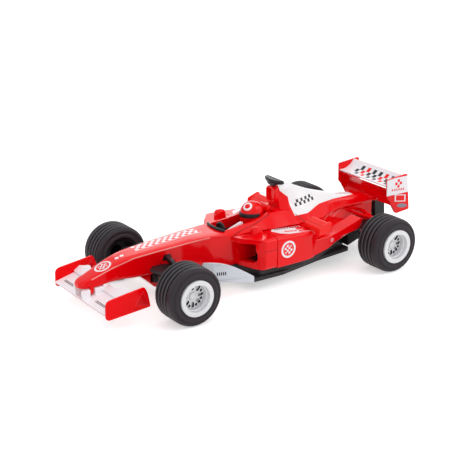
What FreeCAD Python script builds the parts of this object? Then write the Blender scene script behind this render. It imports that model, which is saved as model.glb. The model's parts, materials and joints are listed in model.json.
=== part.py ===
import FreeCAD, Part
import math
import os
import Sketcher

# Toy open wheel racing car, in millimetres.
# Frame: +X to the nose, +Y to the driver's left, +Z up, origin on the floor at the middle of the car.

V = FreeCAD.Vector
doc = FreeCAD.newDocument("toy_racing_car")

# Driving dimensions
DIMENSIONS = {
    "wheelbase": 100.0,
    "front_overhang": 32.8,
    "rear_overhang": 23.8,
    "running_gap": 0.10,
    "press_gap": 0.05,
    "seat_gap": 0.20,
    "panel_gap": 0.40,
    # wheels
    "wheel_radius": 11.7,
    "axle_radius": 1.0,
    "front_wheel_inner": 21.6,
    "rear_wheel_inner": 22.3,
    "tyre_width": 13.0,
    "tyre_shoulder": 1.3,
    "groove_width": 0.6,
    "groove_depth": 0.55,
    "groove_pitch": 2.3,
    "bead_radius": 7.35,
    "rim_lip": 1.2,
    "rim_depth": 3.6,
    "rim_proud": 0.5,
    "disc_thick": 0.9,
    "hub_cap_radius": 1.7,
    "slot_length": 2.2,
    "slot_width": 0.9,
    "slot_count": 8.0,
    "vent_radius": 0.42,
    # nose, tub and cockpit
    "nose_width": 7.1,
    "nose_tip_height": 15.5,
    "dash_width": 13.2,
    "dash_height": 22.6,
    "nose_underside": 12.3,
    "tub_width": 18.4,
    "rim_width": 11.4,
    "rim_height": 24.6,
    "collar_height": 27.8,
    "split_back": 47.2,
    "collar_back": 66.8,
    "cockpit_front": 28.4,
    "cockpit_back": 57.6,
    "cockpit_depth": 5.2,
    "trim_radius": 7.35,
    "trim_thick": 1.4,
    "trim_drop": 0.7,
    # sidepods and engine cover
    "pod_width": 43.2,
    "pod_height": 22.3,
    "pod_bottom": 9.2,
    "pod_wall": 3.4,
    "deck_height": 16.6,
    "airbox_back": 59.3,
    "airbox_width": 6.2,
    "cover_height": 36.8,
    "crease_height": 22.3,
    "tail_height": 24.0,
    # floor
    "floor_height": 4.6,
    "floor_width": 39.0,
    "screw_spacing": 60.0,
    "screw_radius": 1.25,
    "screw_depth": 3.0,
    # front wing and suspension
    "front_span": 42.0,
    "front_plate_thick": 1.0,
    "front_plane_height": 6.9,
    "plane_thick": 1.0,
    "arm_height": 14.9,
    "arm_thick": 1.2,
    "arm_reach": 19.4,
    # rear wing
    "rear_span": 33.2,
    "rear_plate_thick": 0.9,
    "rear_plane_height": 31.0,
    "wing_top": 35.5,
    # driver and camera
    "helmet_length": 10.4,
    "helmet_width": 9.0,
    "helmet_top": 31.7,
    "helmet_middle": 26.2,
    "visor_height": 1.7,
    "camera_span": 11.6,
    "camera_rise": 3.2,
}

sheet = doc.addObject("Spreadsheet::Sheet", "sizes")
for row, (alias, value) in enumerate(DIMENSIONS.items(), start=1):
    sheet.set(f"A{row}", alias)
    sheet.set(f"B{row}", str(value))
    sheet.setAlias(f"B{row}", alias)
doc.recompute()


class Size:
    """A length together with the sheet expression that gives it."""

    def __init__(self, value, text):
        self.value = value
        self.text = text

    def __add__(self, other):
        return joined(self, "+", other, self.value + plain(other).value)

    def __radd__(self, other):
        return plain(other) + self

    def __sub__(self, other):
        return joined(self, "-", other, self.value - plain(other).value)

    def __rsub__(self, other):
        return plain(other) - self

    def __mul__(self, other):
        return joined(self, "*", other, self.value * plain(other).value)

    def __rmul__(self, other):
        return plain(other) * self

    def __truediv__(self, other):
        return joined(self, "/", other, self.value / plain(other).value)

    def __neg__(self):
        return plain(0.0) - self


def plain(number):
    if isinstance(number, Size):
        return number
    return Size(float(number), f"{float(number):.4f}")


def joined(left, sign, right, value):
    return Size(value, f"({left.text} {sign} {plain(right).text})")


def size(alias):
    return Size(float(sheet.get(alias)), f"sizes.{alias}")


def bind(thing, path, length):
    """Set one property of an object to a length of the sheet."""
    thing.setExpression(path, plain(length).text)


# Places that the pieces share
nose_x = (size("front_overhang") + size("wheelbase") + size("rear_overhang")) / 2
front_x = nose_x - size("front_overhang")
rear_x = front_x - size("wheelbase")
tail_x = rear_x - size("rear_overhang")
axle_z = size("wheel_radius")
split_x = front_x - size("split_back")
seat = size("seat_gap")

# Half the angle that the black trim in front of the cockpit spans
TRIM_ANGLE = 57.5

nodes = {}


def new_body(label):
    body = doc.addObject("PartDesign::Body", label)
    body.Label = label
    nodes[label] = body
    return body


def origin_plane(body, role):
    return [item for item in body.Origin.OriginFeatures if item.Role == role][0]


def new_sketch(body, role, offset=0.0):
    sketch = body.newObject("Sketcher::SketchObject", body.Name + "_sketch")
    sketch.AttachmentSupport = [(origin_plane(body, role), "")]
    sketch.MapMode = "FlatFace"
    bind(sketch, "AttachmentOffset.Base.z", offset)
    return sketch


def pin(sketch, index, start, place):
    """Tie one end of a sketch line to a place given by two lengths."""
    for kind, axis, length in (("DistanceX", -2, plain(place[0])), ("DistanceY", -1, plain(place[1]))):
        if abs(length.value) < 1e-9:
            sketch.addConstraint(Sketcher.Constraint("PointOnObject", index, start, axis))
            continue
        number = sketch.addConstraint(Sketcher.Constraint(kind, index, start, length.value))
        sketch.setExpression(f"Constraints[{number}]", length.text)


def polygon(sketch, points):
    """A closed outline of straight lines through the given places."""
    places = [(plain(a), plain(b)) for a, b in points]
    first = sketch.GeometryCount
    count = len(places)
    corners = [V(a.value, b.value, 0) for a, b in places]
    lines = [Part.LineSegment(corners[i], corners[(i + 1) % count]) for i in range(count)]
    sketch.addGeometry(lines, False)
    for i in range(count):
        following = first + (i + 1) % count
        sketch.addConstraint(Sketcher.Constraint("Coincident", first + i, 2, following, 1))
    for i in range(count):
        pin(sketch, first + i, 1, places[i])


def circle(sketch, centre, radius):
    a, b = plain(centre[0]), plain(centre[1])
    shape = Part.Circle(V(a.value, b.value, 0), V(0, 0, 1), plain(radius).value)
    index = sketch.addGeometry(shape, False)
    pin(sketch, index, 3, (a, b))
    number = sketch.addConstraint(Sketcher.Constraint("Radius", index, plain(radius).value))
    sketch.setExpression(f"Constraints[{number}]", plain(radius).text)


def pad(body, sketch, length, reverse=False):
    feature = body.newObject("PartDesign::Pad", body.Name + "_pad")
    feature.Profile = sketch
    feature.Reversed = reverse
    bind(feature, "Length", length)
    body.Tip = feature
    return feature


def pocket(body, sketch, length, reverse=False):
    feature = body.newObject("PartDesign::Pocket", body.Name + "_pocket")
    feature.Profile = sketch
    feature.Reversed = reverse
    bind(feature, "Length", length)
    body.Tip = feature
    return feature


def revolve(body, sketch, axis="H_Axis"):
    feature = body.newObject("PartDesign::Revolution", body.Name + "_turned")
    feature.Profile = sketch
    feature.ReferenceAxis = (sketch, [axis])
    feature.Angle = 360.0
    body.Tip = feature
    return feature


def loft(body, sketches):
    feature = body.newObject("PartDesign::AdditiveLoft", body.Name + "_loft")
    feature.Profile = sketches[0]
    feature.Sections = sketches[1:]
    body.Tip = feature
    return feature


def side_plate(label, outline, start, width):
    """A plate drawn from the side, in X and Z, and padded across the car from start by width."""
    body = new_body(label)
    sketch = new_sketch(body, "XZ_Plane", -plain(start))
    polygon(sketch, outline)
    pad(body, sketch, width, reverse=True)
    return body


def flat_plate(label, outline, bottom, height):
    """A plate drawn from above, in X and Y, and padded upwards."""
    body = new_body(label)
    sketch = new_sketch(body, "XY_Plane", bottom)
    polygon(sketch, outline)
    pad(body, sketch, height)
    return body


def round_edges(body, chosen, radius):
    """Round the edges of a body's shape that the test chooses."""
    doc.recompute()
    base = body.Tip
    names = [f"Edge{i + 1}" for i, edge in enumerate(base.Shape.Edges) if chosen(edge)]
    feature = body.newObject("PartDesign::Fillet", body.Name + "_round")
    feature.Base = (base, names)
    bind(feature, "Radius", radius)
    body.Tip = feature
    return feature


def both_sides(half):
    """A closed section from the places of its left half, listed from top to bottom."""
    left = [(plain(a), plain(b)) for a, b in half]
    right = [(-a, b) for a, b in reversed(left)]
    return left + right


def section(body, x, half):
    sketch = new_sketch(body, "YZ_Plane", x)
    polygon(sketch, both_sides(half))
    return sketch


def front_body():
    """Nose, tub and raised cockpit surround in one shell, with the front of both sidepods."""
    body = new_body("front_body")
    tip = size("nose_width") / 2
    tip_z = size("nose_tip_height")
    dash = size("dash_width") / 2
    dash_z = size("dash_height")
    low_z = size("nose_underside")
    tub = size("tub_width") / 2
    rim = size("rim_width") / 2
    rim_z = size("rim_height")
    collar_z = size("collar_height")
    floor_top = size("pod_bottom")
    # nose: distance from the front axle, half width and height of the crease, height of the underside
    nose = [
        (size("front_overhang"), tip * 0.45, tip_z - 1.9, low_z),
        (size("front_overhang") - 0.9, tip * 0.75, tip_z - 1.4, low_z - 0.4),
        (size("front_overhang") - 2.4, tip * 0.9, tip_z - 0.8, low_z - 0.6),
        (28.0, tip, tip_z, low_z - 0.6),
        (24.0, tip + 0.5, tip_z + 1.4, low_z - 0.3),
        (20.0, dash - 2.1, dash_z - 4.2, low_z + 0.3),
        (15.0, dash - 1.7, dash_z - 2.6, low_z + 0.5),
        (10.0, dash - 1.2, dash_z - 1.6, low_z + 0.2),
        (0.0, dash - 0.6, dash_z - 0.8, low_z - 0.2),
        (-10.0, dash, dash_z - 0.2, low_z - 0.6),
        (-20.0, dash + 0.3, dash_z + 0.4, low_z - 1.2),
        (-25.0, dash + 0.9, dash_z + 0.4, low_z - 1.7),
        (-30.0, dash + 2.0, dash_z + 0.2, low_z - 2.2),
    ]
    drawn = []
    for distance, half, crease_z, under_z in nose:
        drawn.append(section(body, front_x + distance, [
            (half * 0.55, crease_z + 0.4), (half, crease_z), (half - 0.1, under_z + 1.0),
            (half - 0.8, under_z),
        ]))
    loft(body, drawn)
    # tub: rim of the cockpit, shoulder, foot of the surround, then the plain side of the tub
    surround = [
        (-29.6, (rim - 0.4, rim_z - 1.2), (dash + 1.0, dash_z + 0.5), dash + 1.9, dash_z + 0.2),
        (-34.0, (rim + 0.4, rim_z - 0.6), (tub - 0.9, rim_z - 1.3), tub + 0.1, dash_z - 0.1),
        (-40.0, (rim + 0.1, rim_z - 0.1), (tub - 0.7, rim_z - 1.0), tub + 0.8, dash_z + 0.1),
        (-46.0, (rim, rim_z + 0.6), (tub - 1.1, rim_z - 0.2), tub + 1.8, dash_z + 0.3),
        (-50.0, (rim + 0.2, rim_z + 1.6), (tub - 1.6, rim_z + 1.3), tub + 2.3, dash_z + 0.2),
        (-54.0, (rim + 0.4, collar_z - 0.3), (tub - 2.0, collar_z - 0.5), tub + 2.7, dash_z),
        (-60.0, (rim + 0.8, collar_z), (tub - 1.9, collar_z - 0.2), tub + 2.8, dash_z - 0.1),
        (-size("collar_back"), (rim + 0.9, collar_z), (tub - 1.7, collar_z - 0.4), tub + 2.8, dash_z - 0.4),
    ]
    drawn = []
    for distance, rim_point, shoulder, foot, foot_z in surround:
        drawn.append(section(body, front_x + distance, [
            rim_point, shoulder, (foot, foot_z), (foot - 0.1, foot_z - 0.3), (tub - 0.1, foot_z - 0.5),
            (tub - 0.4, floor_top + 0.9), (tub - 1.2, floor_top),
        ]))
    loft(body, drawn)
    # front of the sidepods, out from the tub
    reach = size("pod_width") / 2
    for sign in (1, -1):
        ear = new_sketch(body, "XY_Plane", floor_top)
        polygon(ear, [
            (split_x, sign * (tub - 1.0)), (front_x - 33.0, sign * (tub - 1.0)),
            (front_x - 34.6, sign * (tub + 4.2)), (front_x - 38.3, sign * (reach - 4.0)),
            (split_x + 6.6, sign * (reach - 1.0)), (split_x + 5.6, sign * reach), (split_x, sign * reach),
        ])
        pad(body, ear, size("pod_height") - floor_top)
    # air ducts, wide at the mouth
    for sign in (1, -1):
        duct = new_sketch(body, "YZ_Plane", front_x - 30.0)
        outer = reach - size("pod_wall")
        mouth = size("pod_height")
        polygon(duct, [
            (sign * tub, mouth - 2.3), (sign * (outer - 0.4), mouth - 2.1), (sign * outer, mouth - 2.6),
            (sign * outer, floor_top + 4.0), (sign * (outer - 1.6), floor_top + 2.6),
            (sign * tub, floor_top + 2.2),
        ])
        pocket(body, duct, size("split_back") - 30.0 - 2.0)
        # the lower lip lies further back than the upper one
        lip = new_sketch(body, "XY_Plane", floor_top + 7.4)
        polygon(lip, [
            (front_x - 30.0, sign * (tub + 0.2)), (front_x - 36.6, sign * (tub + 0.2)),
            (front_x - 38.6, sign * (outer - 2.0)), (front_x - 39.6, sign * outer),
            (front_x - 37.0, sign * (reach + 1.0)), (front_x - 30.0, sign * (reach + 1.0)),
        ])
        pocket(body, lip, 7.6)
    cockpit_cuts(body)
    # the notch under the nose that takes the front axle carrier
    notch = new_sketch(body, "XZ_Plane", -20.0)
    roof = size("arm_height") + size("arm_thick") + seat
    polygon(notch, [
        (front_x - 4.0, 8.0), (front_x + 2.4, 8.0), (front_x + 2.4, roof), (front_x - 4.0, roof),
    ])
    pocket(body, notch, 40.0, reverse=True)
    # slots in the sides of the nose for the upper arms
    for sign in (1, -1):
        slot = new_sketch(body, "XZ_Plane", -sign * 4.2)
        polygon(slot, [
            (front_x - 6.6, 17.6), (front_x - 5.6, 20.0), (front_x - 3.0, 20.0), (front_x - 2.2, 17.6),
        ])
        pocket(body, slot, 4.0, reverse=sign < 0)
    # red posts that plug into the front wing
    for sign in (1, -1):
        post = new_sketch(body, "XY_Plane", low_z)
        side = size("nose_width") / 2
        polygon(post, [
            (nose_x - 5.7, sign * (side - 1.2)), (nose_x - 4.2, sign * (side - 1.2)),
            (nose_x - 4.2, sign * side), (nose_x - 5.7, sign * side),
        ])
        pad(body, post, low_z - size("front_plane_height") - size("plane_thick") - 1.8, reverse=True)
    # the flat underside that lies on the floor tray
    under = new_sketch(body, "XY_Plane", floor_top)
    polygon(under, [
        (front_x - 70.0, -30.0), (front_x - 26.0, -30.0), (front_x - 26.0, 30.0), (front_x - 70.0, 30.0),
    ])
    pocket(body, under, 6.0)
    return body


def cockpit_cuts(body):
    """The cockpit well with its bowed front, the ledge under the black trim and the bay of the airbox."""
    rim_z = size("rim_height")
    inner = size("rim_width") / 2 - 0.5
    back = front_x - size("cockpit_back")
    radius = size("trim_radius")
    well = new_sketch(body, "XY_Plane", rim_z + 8.0)
    polygon(well, [(back, inner)] + arc_of_trim(radius - 0.9, TRIM_ANGLE) + [(back, -inner)])
    pocket(body, well, size("cockpit_depth") + 8.0)
    ledge = new_sketch(body, "XY_Plane", rim_z + 8.0)
    wide = size("trim_thick") / 2 + 0.15
    inside = arc_of_trim(radius - wide - 0.4, TRIM_ANGLE + 1.5)
    polygon(ledge, arc_of_trim(radius + wide, TRIM_ANGLE + 1.5) + inside[::-1])
    pocket(body, ledge, 8.0 + size("trim_drop") + size("trim_thick") / 2)
    bay = new_sketch(body, "XY_Plane", 50.0)
    width = size("airbox_width") / 2 + 3.5
    start = front_x - size("airbox_back") - 2.0
    polygon(bay, [
        (start, width), (start, -width), (start - 12.0, -width), (start - 12.0, width),
    ])
    pocket(body, bay, 60.0)
    # a slot in the collar behind the headrest, where the intake stands
    slot = new_sketch(body, "XY_Plane", 50.0)
    half = size("airbox_width") / 2 + seat
    polygon(slot, [(start - 1.0, half), (start + 2.2, half), (start + 2.2, -half), (start - 1.0, -half)])
    pocket(body, slot, 57.4 + 2.0 - size("cover_height"))


def arc_of_trim(radius, angle):
    """Seven places along an arc about the centre of the trim, from its left end to its right end."""
    centre = front_x - size("cockpit_front") - size("trim_radius")
    places = []
    for number in range(7):
        turn = math.radians(angle * (1 - number / 3))
        places.append((centre + radius * math.cos(turn), radius * math.sin(turn)))
    return places


def keel():
    """The keel that closes the axle notch from the front."""
    half = size("dash_width") / 2 - 1.4
    under = size("nose_underside") - 0.2
    return side_plate("front_keel", [
        (front_x - 2.0, 9.2), (front_x - 2.0, 6.9), (front_x + 0.9, 6.7), (front_x + 3.4, 9.2),
        (front_x + 6.8, under - 0.1), (front_x + 2.6, under - 0.1), (front_x + 2.6, 9.2),
    ], -half, half * 2)


def rear_body():
    """Sidepods, deck, flip-ups and engine cover, from the panel split to the tail."""
    body = new_body("rear_body")
    tub = size("tub_width") / 2 + size("panel_gap")
    reach = size("pod_width") / 2
    top = size("pod_height")
    low = size("pod_bottom")
    deck = size("deck_height")
    high = size("cover_height")
    crease = size("crease_height")
    tail = size("tail_height")
    start = split_x - size("panel_gap")
    collar = front_x - size("collar_back") - size("panel_gap")
    half = size("airbox_width") / 2
    foot = deck - 3.4
    # engine cover: ridge, shoulder, flank, crease, then the wall tucked in under the crease
    cover = [
        (collar, (1.3, high + 0.2), (2.5, high - 1.2), (5.6, high - 8.6), (11.6, crease + 0.3), 11.2),
        (rear_x + 27.5, (1.3, high - 2.0), (2.8, high - 3.4), (6.0, crease + 5.4), (12.0, crease), 11.0),
        (rear_x + 20.5, (1.3, high - 4.9), (2.9, high - 6.2), (5.8, crease + 4.2),
         (10.4, crease - 0.2), 9.4),
        (rear_x + 12.0, (1.5, tail + 5.2), (3.0, tail + 4.2), (4.8, crease + 3.4), (6.8, crease), 5.9),
        (rear_x + 4.0, (1.8, tail + 2.9), (3.0, tail + 2.3), (4.2, crease + 2.5), (5.4, crease + 0.1), 4.8),
        (rear_x - 5.0, (2.2, tail + 1.4), (3.2, tail + 1.0), (4.2, crease + 1.7), (5.0, crease + 0.1), 4.5),
        (rear_x - 12.6, (2.6, tail), (3.6, tail - 0.2), (4.4, crease + 0.9), (4.9, crease + 0.1), 4.4),
    ]
    drawn = []
    for x, ridge, shoulder, flank, edge, wall in cover:
        drawn.append(section(body, x, [
            ridge, shoulder, flank, edge, (plain(edge[0]) - 0.1, plain(edge[1]) - 0.7),
            (plain(wall), plain(edge[1]) - 1.3), (plain(wall), foot),
        ]))
    loft(body, drawn)
    # front of the cover, between the two sides of the cockpit surround
    airbox = front_x - size("airbox_back") - 2.2
    drawn = []
    for x, rise, side, base in ((airbox, -0.3, half, half + 2.4),
                                (collar - 0.8, 0.1, half + 1.4, half + 3.1)):
        drawn.append(section(body, x, [
            (1.4, high + rise), (2.5, high + rise - 1.3), (side, high - 7.0), (base, crease + 3.6),
            (base, foot),
        ]))
    loft(body, drawn)
    # sidepods
    for sign in (1, -1):
        drawn = []
        for distance, drop, inset in ((0.0, 0.0, 0.0), (10.4, 0.6, 0.1), (17.8, 1.2, 0.4),
                                      (20.2, 1.8, 0.9)):
            pod = new_sketch(body, "YZ_Plane", start - distance)
            edge = reach - inset
            polygon(pod, [
                (sign * tub, low), (sign * tub, top - drop * 0.5), (sign * (edge - 1.5), top - drop),
                (sign * (edge - 0.4), top - drop - 0.5), (sign * edge, top - drop - 1.6),
                (sign * (edge - inset), low),
            ])
            drawn.append(pod)
        loft(body, drawn)
        # deck ahead of the rear wheel: outer edge, rise of its top, height of its lower edge
        drawn = []
        for x, outer, rise, under_z in (
                (collar, 20.6, 0.2, low + 0.7), (front_x - 75.6, 20.2, 0.1, low + 2.1),
                (front_x - 80.0, 20.0, 0.0, low + 4.3), (rear_x + 12.0, 18.0, 0.0, deck - 2.0),
                (rear_x + 4.0, 10.0, -0.4, deck - 2.2)):
            shelf = new_sketch(body, "YZ_Plane", x)
            polygon(shelf, [
                (sign * 4.0, under_z), (sign * 4.0, deck + rise), (sign * outer, deck + rise),
                (sign * (outer - 0.2), deck + rise - 0.9), (sign * (outer - 0.6), under_z),
            ])
            drawn.append(shelf)
        loft(body, drawn)
        # flip-up ahead of the rear wheel
        flip = new_sketch(body, "XZ_Plane", -plain(sign * 20.0 if sign < 0 else 13.6))
        polygon(flip, [
            (front_x - 70.0, deck - 0.7), (rear_x + 20.0, deck + 0.8), (rear_x + 7.0, deck + 4.9),
            (rear_x + 6.3, deck + 4.3), (rear_x + 7.3, deck + 1.3), (rear_x + 8.8, deck + 0.2),
            (rear_x + 14.0, deck - 0.6), (rear_x + 19.0, deck - 1.0), (front_x - 70.0, deck - 1.8),
        ])
        pad(body, flip, 6.4, reverse=True)
    # the lip across the tail
    lip = new_sketch(body, "XZ_Plane", -7.6)
    polygon(lip, [
        (rear_x - 13.3, tail - 1.6), (rear_x - 13.3, tail - 0.5), (rear_x - 9.4, tail + 0.5),
        (rear_x - 9.4, tail - 0.9),
    ])
    pad(body, lip, 15.2)
    # room for the motor housing and the tray
    under = new_sketch(body, "XY_Plane", foot)
    polygon(under, [
        (rear_x - 20.0, -30.0), (rear_x + 7.2, -30.0), (rear_x + 7.2, 30.0), (rear_x - 20.0, 30.0),
    ])
    pocket(body, under, 8.0)
    return body


def floor_tray():
    """The black floor: a thin plate with a thicker step that follows the pods above it."""
    half = size("floor_width") / 2
    low = size("floor_height")
    top = size("pod_bottom")
    body = flat_plate("floor_tray", [
        (front_x - 8.0, 3.2), (split_x + 12.0, 5.0), (split_x + 10.0, half), (split_x - 5.0, half),
        (rear_x + 26.0, half - 4.4), (rear_x + 7.2, 13.0), (rear_x + 7.2, -13.0),
        (rear_x + 26.0, 4.4 - half), (split_x - 5.0, -half), (split_x + 10.0, -half),
        (split_x + 12.0, -5.0), (front_x - 8.0, -3.2),
    ], low, 1.8)
    step = new_sketch(body, "XY_Plane", low + 1.6)
    inner = half - 0.9
    polygon(step, [
        (front_x - 14.0, 2.6), (split_x + 13.0, 6.0), (split_x + 6.0, inner), (split_x - 16.0, inner),
        (rear_x + 26.0, 15.4), (rear_x + 7.4, 9.4), (rear_x + 7.4, -9.4), (rear_x + 26.0, -15.4),
        (split_x - 16.0, -inner), (split_x + 6.0, -inner), (split_x + 13.0, -6.0), (front_x - 14.0, -2.6),
    ])
    pad(body, step, top - low - 1.6)
    # its middle rises under the deck towards the motor housing
    roof = size("deck_height") - 3.4 - seat
    rise = new_sketch(body, "XY_Plane", top - 0.2)
    polygon(rise, [
        (front_x - 68.0, 16.2), (rear_x + 26.0, 14.8), (rear_x + 7.4, 9.0), (rear_x + 7.4, -9.0),
        (rear_x + 26.0, -14.8), (front_x - 68.0, -16.2),
    ])
    pad(body, rise, roof - top + 0.2)
    slope = new_sketch(body, "XZ_Plane", -20.0)
    polygon(slope, [
        (front_x - 60.0, top), (front_x - 71.6, top), (front_x - 75.6, top + 1.0),
        (front_x - 80.0, top + 3.2), (front_x - 81.4, roof), (front_x - 81.4, roof + 4.0),
        (front_x - 60.0, roof + 4.0),
    ])
    pocket(body, slope, 40.0, reverse=True)
    # two screw holes from below
    for sign in (1, -1):
        screw = new_sketch(body, "XY_Plane", low)
        circle(screw, (sign * size("screw_spacing") / 2, 0.0), size("screw_radius"))
        pocket(body, screw, size("screw_depth"), reverse=True)
    return body


def wheel_set(prefix, x, inner):
    """Axle, wheel cores, rims and tyres of one end, drawn about the axle's own line."""
    radius = size("wheel_radius")
    width = size("tyre_width")
    bead = size("bead_radius")
    gap = size("press_gap")
    shoulder = size("tyre_shoulder")
    outer = inner + width
    axle = doc.addObject("Part::Cylinder", prefix + "_axle")
    axle.Label = prefix + "_axle"
    bind(axle, "Radius", size("axle_radius"))
    bind(axle, "Height", (outer - 4.6) * 2)
    axle.Placement = FreeCAD.Placement(V(0, 0, 0), FreeCAD.Rotation(V(1, 0, 0), 90))
    bind(axle, "Placement.Base.x", x)
    bind(axle, "Placement.Base.y", outer - 4.6)
    bind(axle, "Placement.Base.z", axle_z)
    nodes[axle.Label] = axle

    def turned(label, outline):
        body = new_body(label)
        sketch = new_sketch(body, "YZ_Plane")
        polygon(sketch, outline)
        revolve(body, sketch)
        bind(body, "Placement.Base.x", x)
        bind(body, "Placement.Base.z", axle_z)
        return body

    for side, sign in (("left", 1), ("right", -1)):
        half = size("groove_width") / 2
        floor = radius - size("groove_depth")
        tyre = [
            (inner, bead), (inner, radius - 2.6), (inner + 0.5, radius - shoulder),
            (inner + 1.2, radius - 0.3),
        ]
        for number in range(4):
            middle = inner + 2.6 + number * size("groove_pitch")
            tyre += [
                (middle - half, radius - 0.05), (middle - half, floor), (middle + half, floor),
                (middle + half, radius),
            ]
        tyre += [
            (outer - 1.9, radius - 0.3), (outer - 0.5, radius - shoulder), (outer, radius - 2.6),
            (outer, bead),
        ]
        turned(f"{prefix}_tyre_{side}", [(sign * plain(a), b) for a, b in tyre])
        drum = bead - gap
        bore = size("axle_radius") + gap
        core = [
            (inner + 0.2, drum), (outer - 6.0, drum), (outer - 6.0, 2.6), (outer - 6.2, bore),
            (inner + 0.6, bore), (inner + 0.6, 2.4), (outer - 8.0, 2.8), (outer - 8.0, drum - 1.0),
            (inner + 0.2, drum - 1.0),
        ]
        turned(f"{prefix}_core_{side}", [(sign * plain(a), b) for a, b in core])
        rim(f"{prefix}_rim_{side}", turned, sign, outer)


def rim(label, turned, sign, outer):
    """A dished rim with a stepped wall, a ringed hub cap, radial slots and a vent hole between slots."""
    drum = size("bead_radius") - size("press_gap")
    cap = size("hub_cap_radius")
    face = outer + size("rim_proud")
    disc = face - size("rim_depth")
    back = disc - size("disc_thick")
    lip = drum - size("rim_lip")
    outline = [
        (face, drum - 0.2), (face, lip + 0.1), (face - 0.4, lip - 0.2), (disc + 1.5, lip - 0.4),
        (disc + 1.3, lip - 0.9), (disc, lip - 1.0), (disc, cap), (disc + 0.9, cap - 0.2),
        (disc + 0.9, cap - 0.6), (disc + 0.6, cap - 0.7), (disc + 0.6, 0.0), (back, 0.0),
        (back, lip - 0.3), (outer - 5.8, lip), (outer - 5.8, drum), (outer, drum),
        (outer + 0.1, drum + 0.1), (outer + 0.3, drum + 0.1),
    ]
    body = turned(label, [(sign * plain(a), b) for a, b in outline])
    cuts = new_sketch(body, "XZ_Plane", -sign * (disc + 2.0))
    ring = (lip - 1.0 + cap) / 2
    half = size("slot_length") / 2
    wide = size("slot_width") / 2
    polygon(cuts, [
        (ring - half, -wide), (ring + half, -wide), (ring + half, wide), (ring - half, wide),
    ])
    slot = pocket(body, cuts, 4.0, reverse=sign > 0)
    vents = new_sketch(body, "XZ_Plane", -sign * (disc + 2.0))
    turn = V(FreeCAD.Rotation(V(0, 0, 1), 22.5).multVec(V(1, 0, 0)))
    circle(vents, ((ring + 0.5) * turn.x, (ring + 0.5) * turn.y), size("vent_radius"))
    vent = pocket(body, vents, 4.0, reverse=sign > 0)
    pattern = body.newObject("PartDesign::PolarPattern", body.Name + "_slots")
    pattern.Originals = [slot, vent]
    pattern.Axis = (cuts, ["N_Axis"])
    pattern.Angle = 360.0
    bind(pattern, "Occurrences", size("slot_count"))
    body.Tip = pattern


def front_wing():
    half = size("front_span") / 2 - size("front_plate_thick")
    low = size("front_plane_height")
    thick = size("plane_thick")
    body = side_plate("front_wing_plane", [
        (nose_x - 0.6, low + 0.5), (nose_x - 0.9, low + 1.0), (nose_x - 2.4, low + thick + 0.4),
        (nose_x - 7.0, low + thick + 1.6), (nose_x - 10.4, low + thick + 2.4), (nose_x - 10.4, low + 2.2),
        (nose_x - 6.0, low + 1.0), (nose_x - 2.0, low),
    ], -half, half * 2)
    for side, sign in (("left", 1), ("right", -1)):
        inside = plain(4.6) if sign > 0 else -half
        body = side_plate(f"front_wing_flap_{side}", [
            (nose_x - 9.0, low + thick + 2.6), (nose_x - 14.6, low + thick + 6.4),
            (nose_x - 15.2, low + thick + 5.9), (nose_x - 10.0, low + thick + 2.6),
        ], inside, half - 4.6)
        # the trailing edge sweeps back outwards and forward again at the endplate
        sweep = new_sketch(body, "XY_Plane", 20.0)
        polygon(sweep, [
            (nose_x - 12.0, 0.0), (nose_x - 12.0, sign * 8.0), (nose_x - 13.8, sign * 14.8),
            (nose_x - 11.6, sign * 21.0), (nose_x - 16.0, sign * 21.0), (nose_x - 16.0, 0.0),
        ])
        pocket(body, sweep, 20.0)
        start = half if sign > 0 else -half - size("front_plate_thick")
        side_plate(f"front_endplate_{side}", [
            (nose_x - 1.2, 6.4), (nose_x - 1.3, 12.0), (nose_x - 2.7, 13.2), (nose_x - 17.8, 15.2),
            (nose_x - 18.4, 14.6), (nose_x - 19.4, 12.4), (nose_x - 20.5, 6.8), (nose_x - 2.7, 5.3),
            (nose_x - 1.6, 5.6),
        ], start, size("front_plate_thick"))
        pylon(f"front_pylon_{side}", sign)


def pylon(label, sign):
    """Two white blocks on one foot, with room between them for the red post of the nose."""
    low = size("front_plane_height") + size("plane_thick")
    side = size("nose_width") / 2
    top = size("nose_underside") - 0.8
    edge = side - 0.6 if sign > 0 else -side - 0.4
    side_plate(label, [
        (nose_x - 2.4, low + 0.4), (nose_x - 0.9, low), (nose_x - 0.5, top - 0.3), (nose_x - 1.0, top),
        (nose_x - 3.9, top), (nose_x - 3.9, low + 1.1),
        (nose_x - 6.0, low + 1.6), (nose_x - 6.0, top + 0.1), (nose_x - 10.2, top + 0.4),
        (nose_x - 10.2, low + 2.4), (nose_x - 7.0, low + 1.6),
    ], edge, 1.0)


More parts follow.
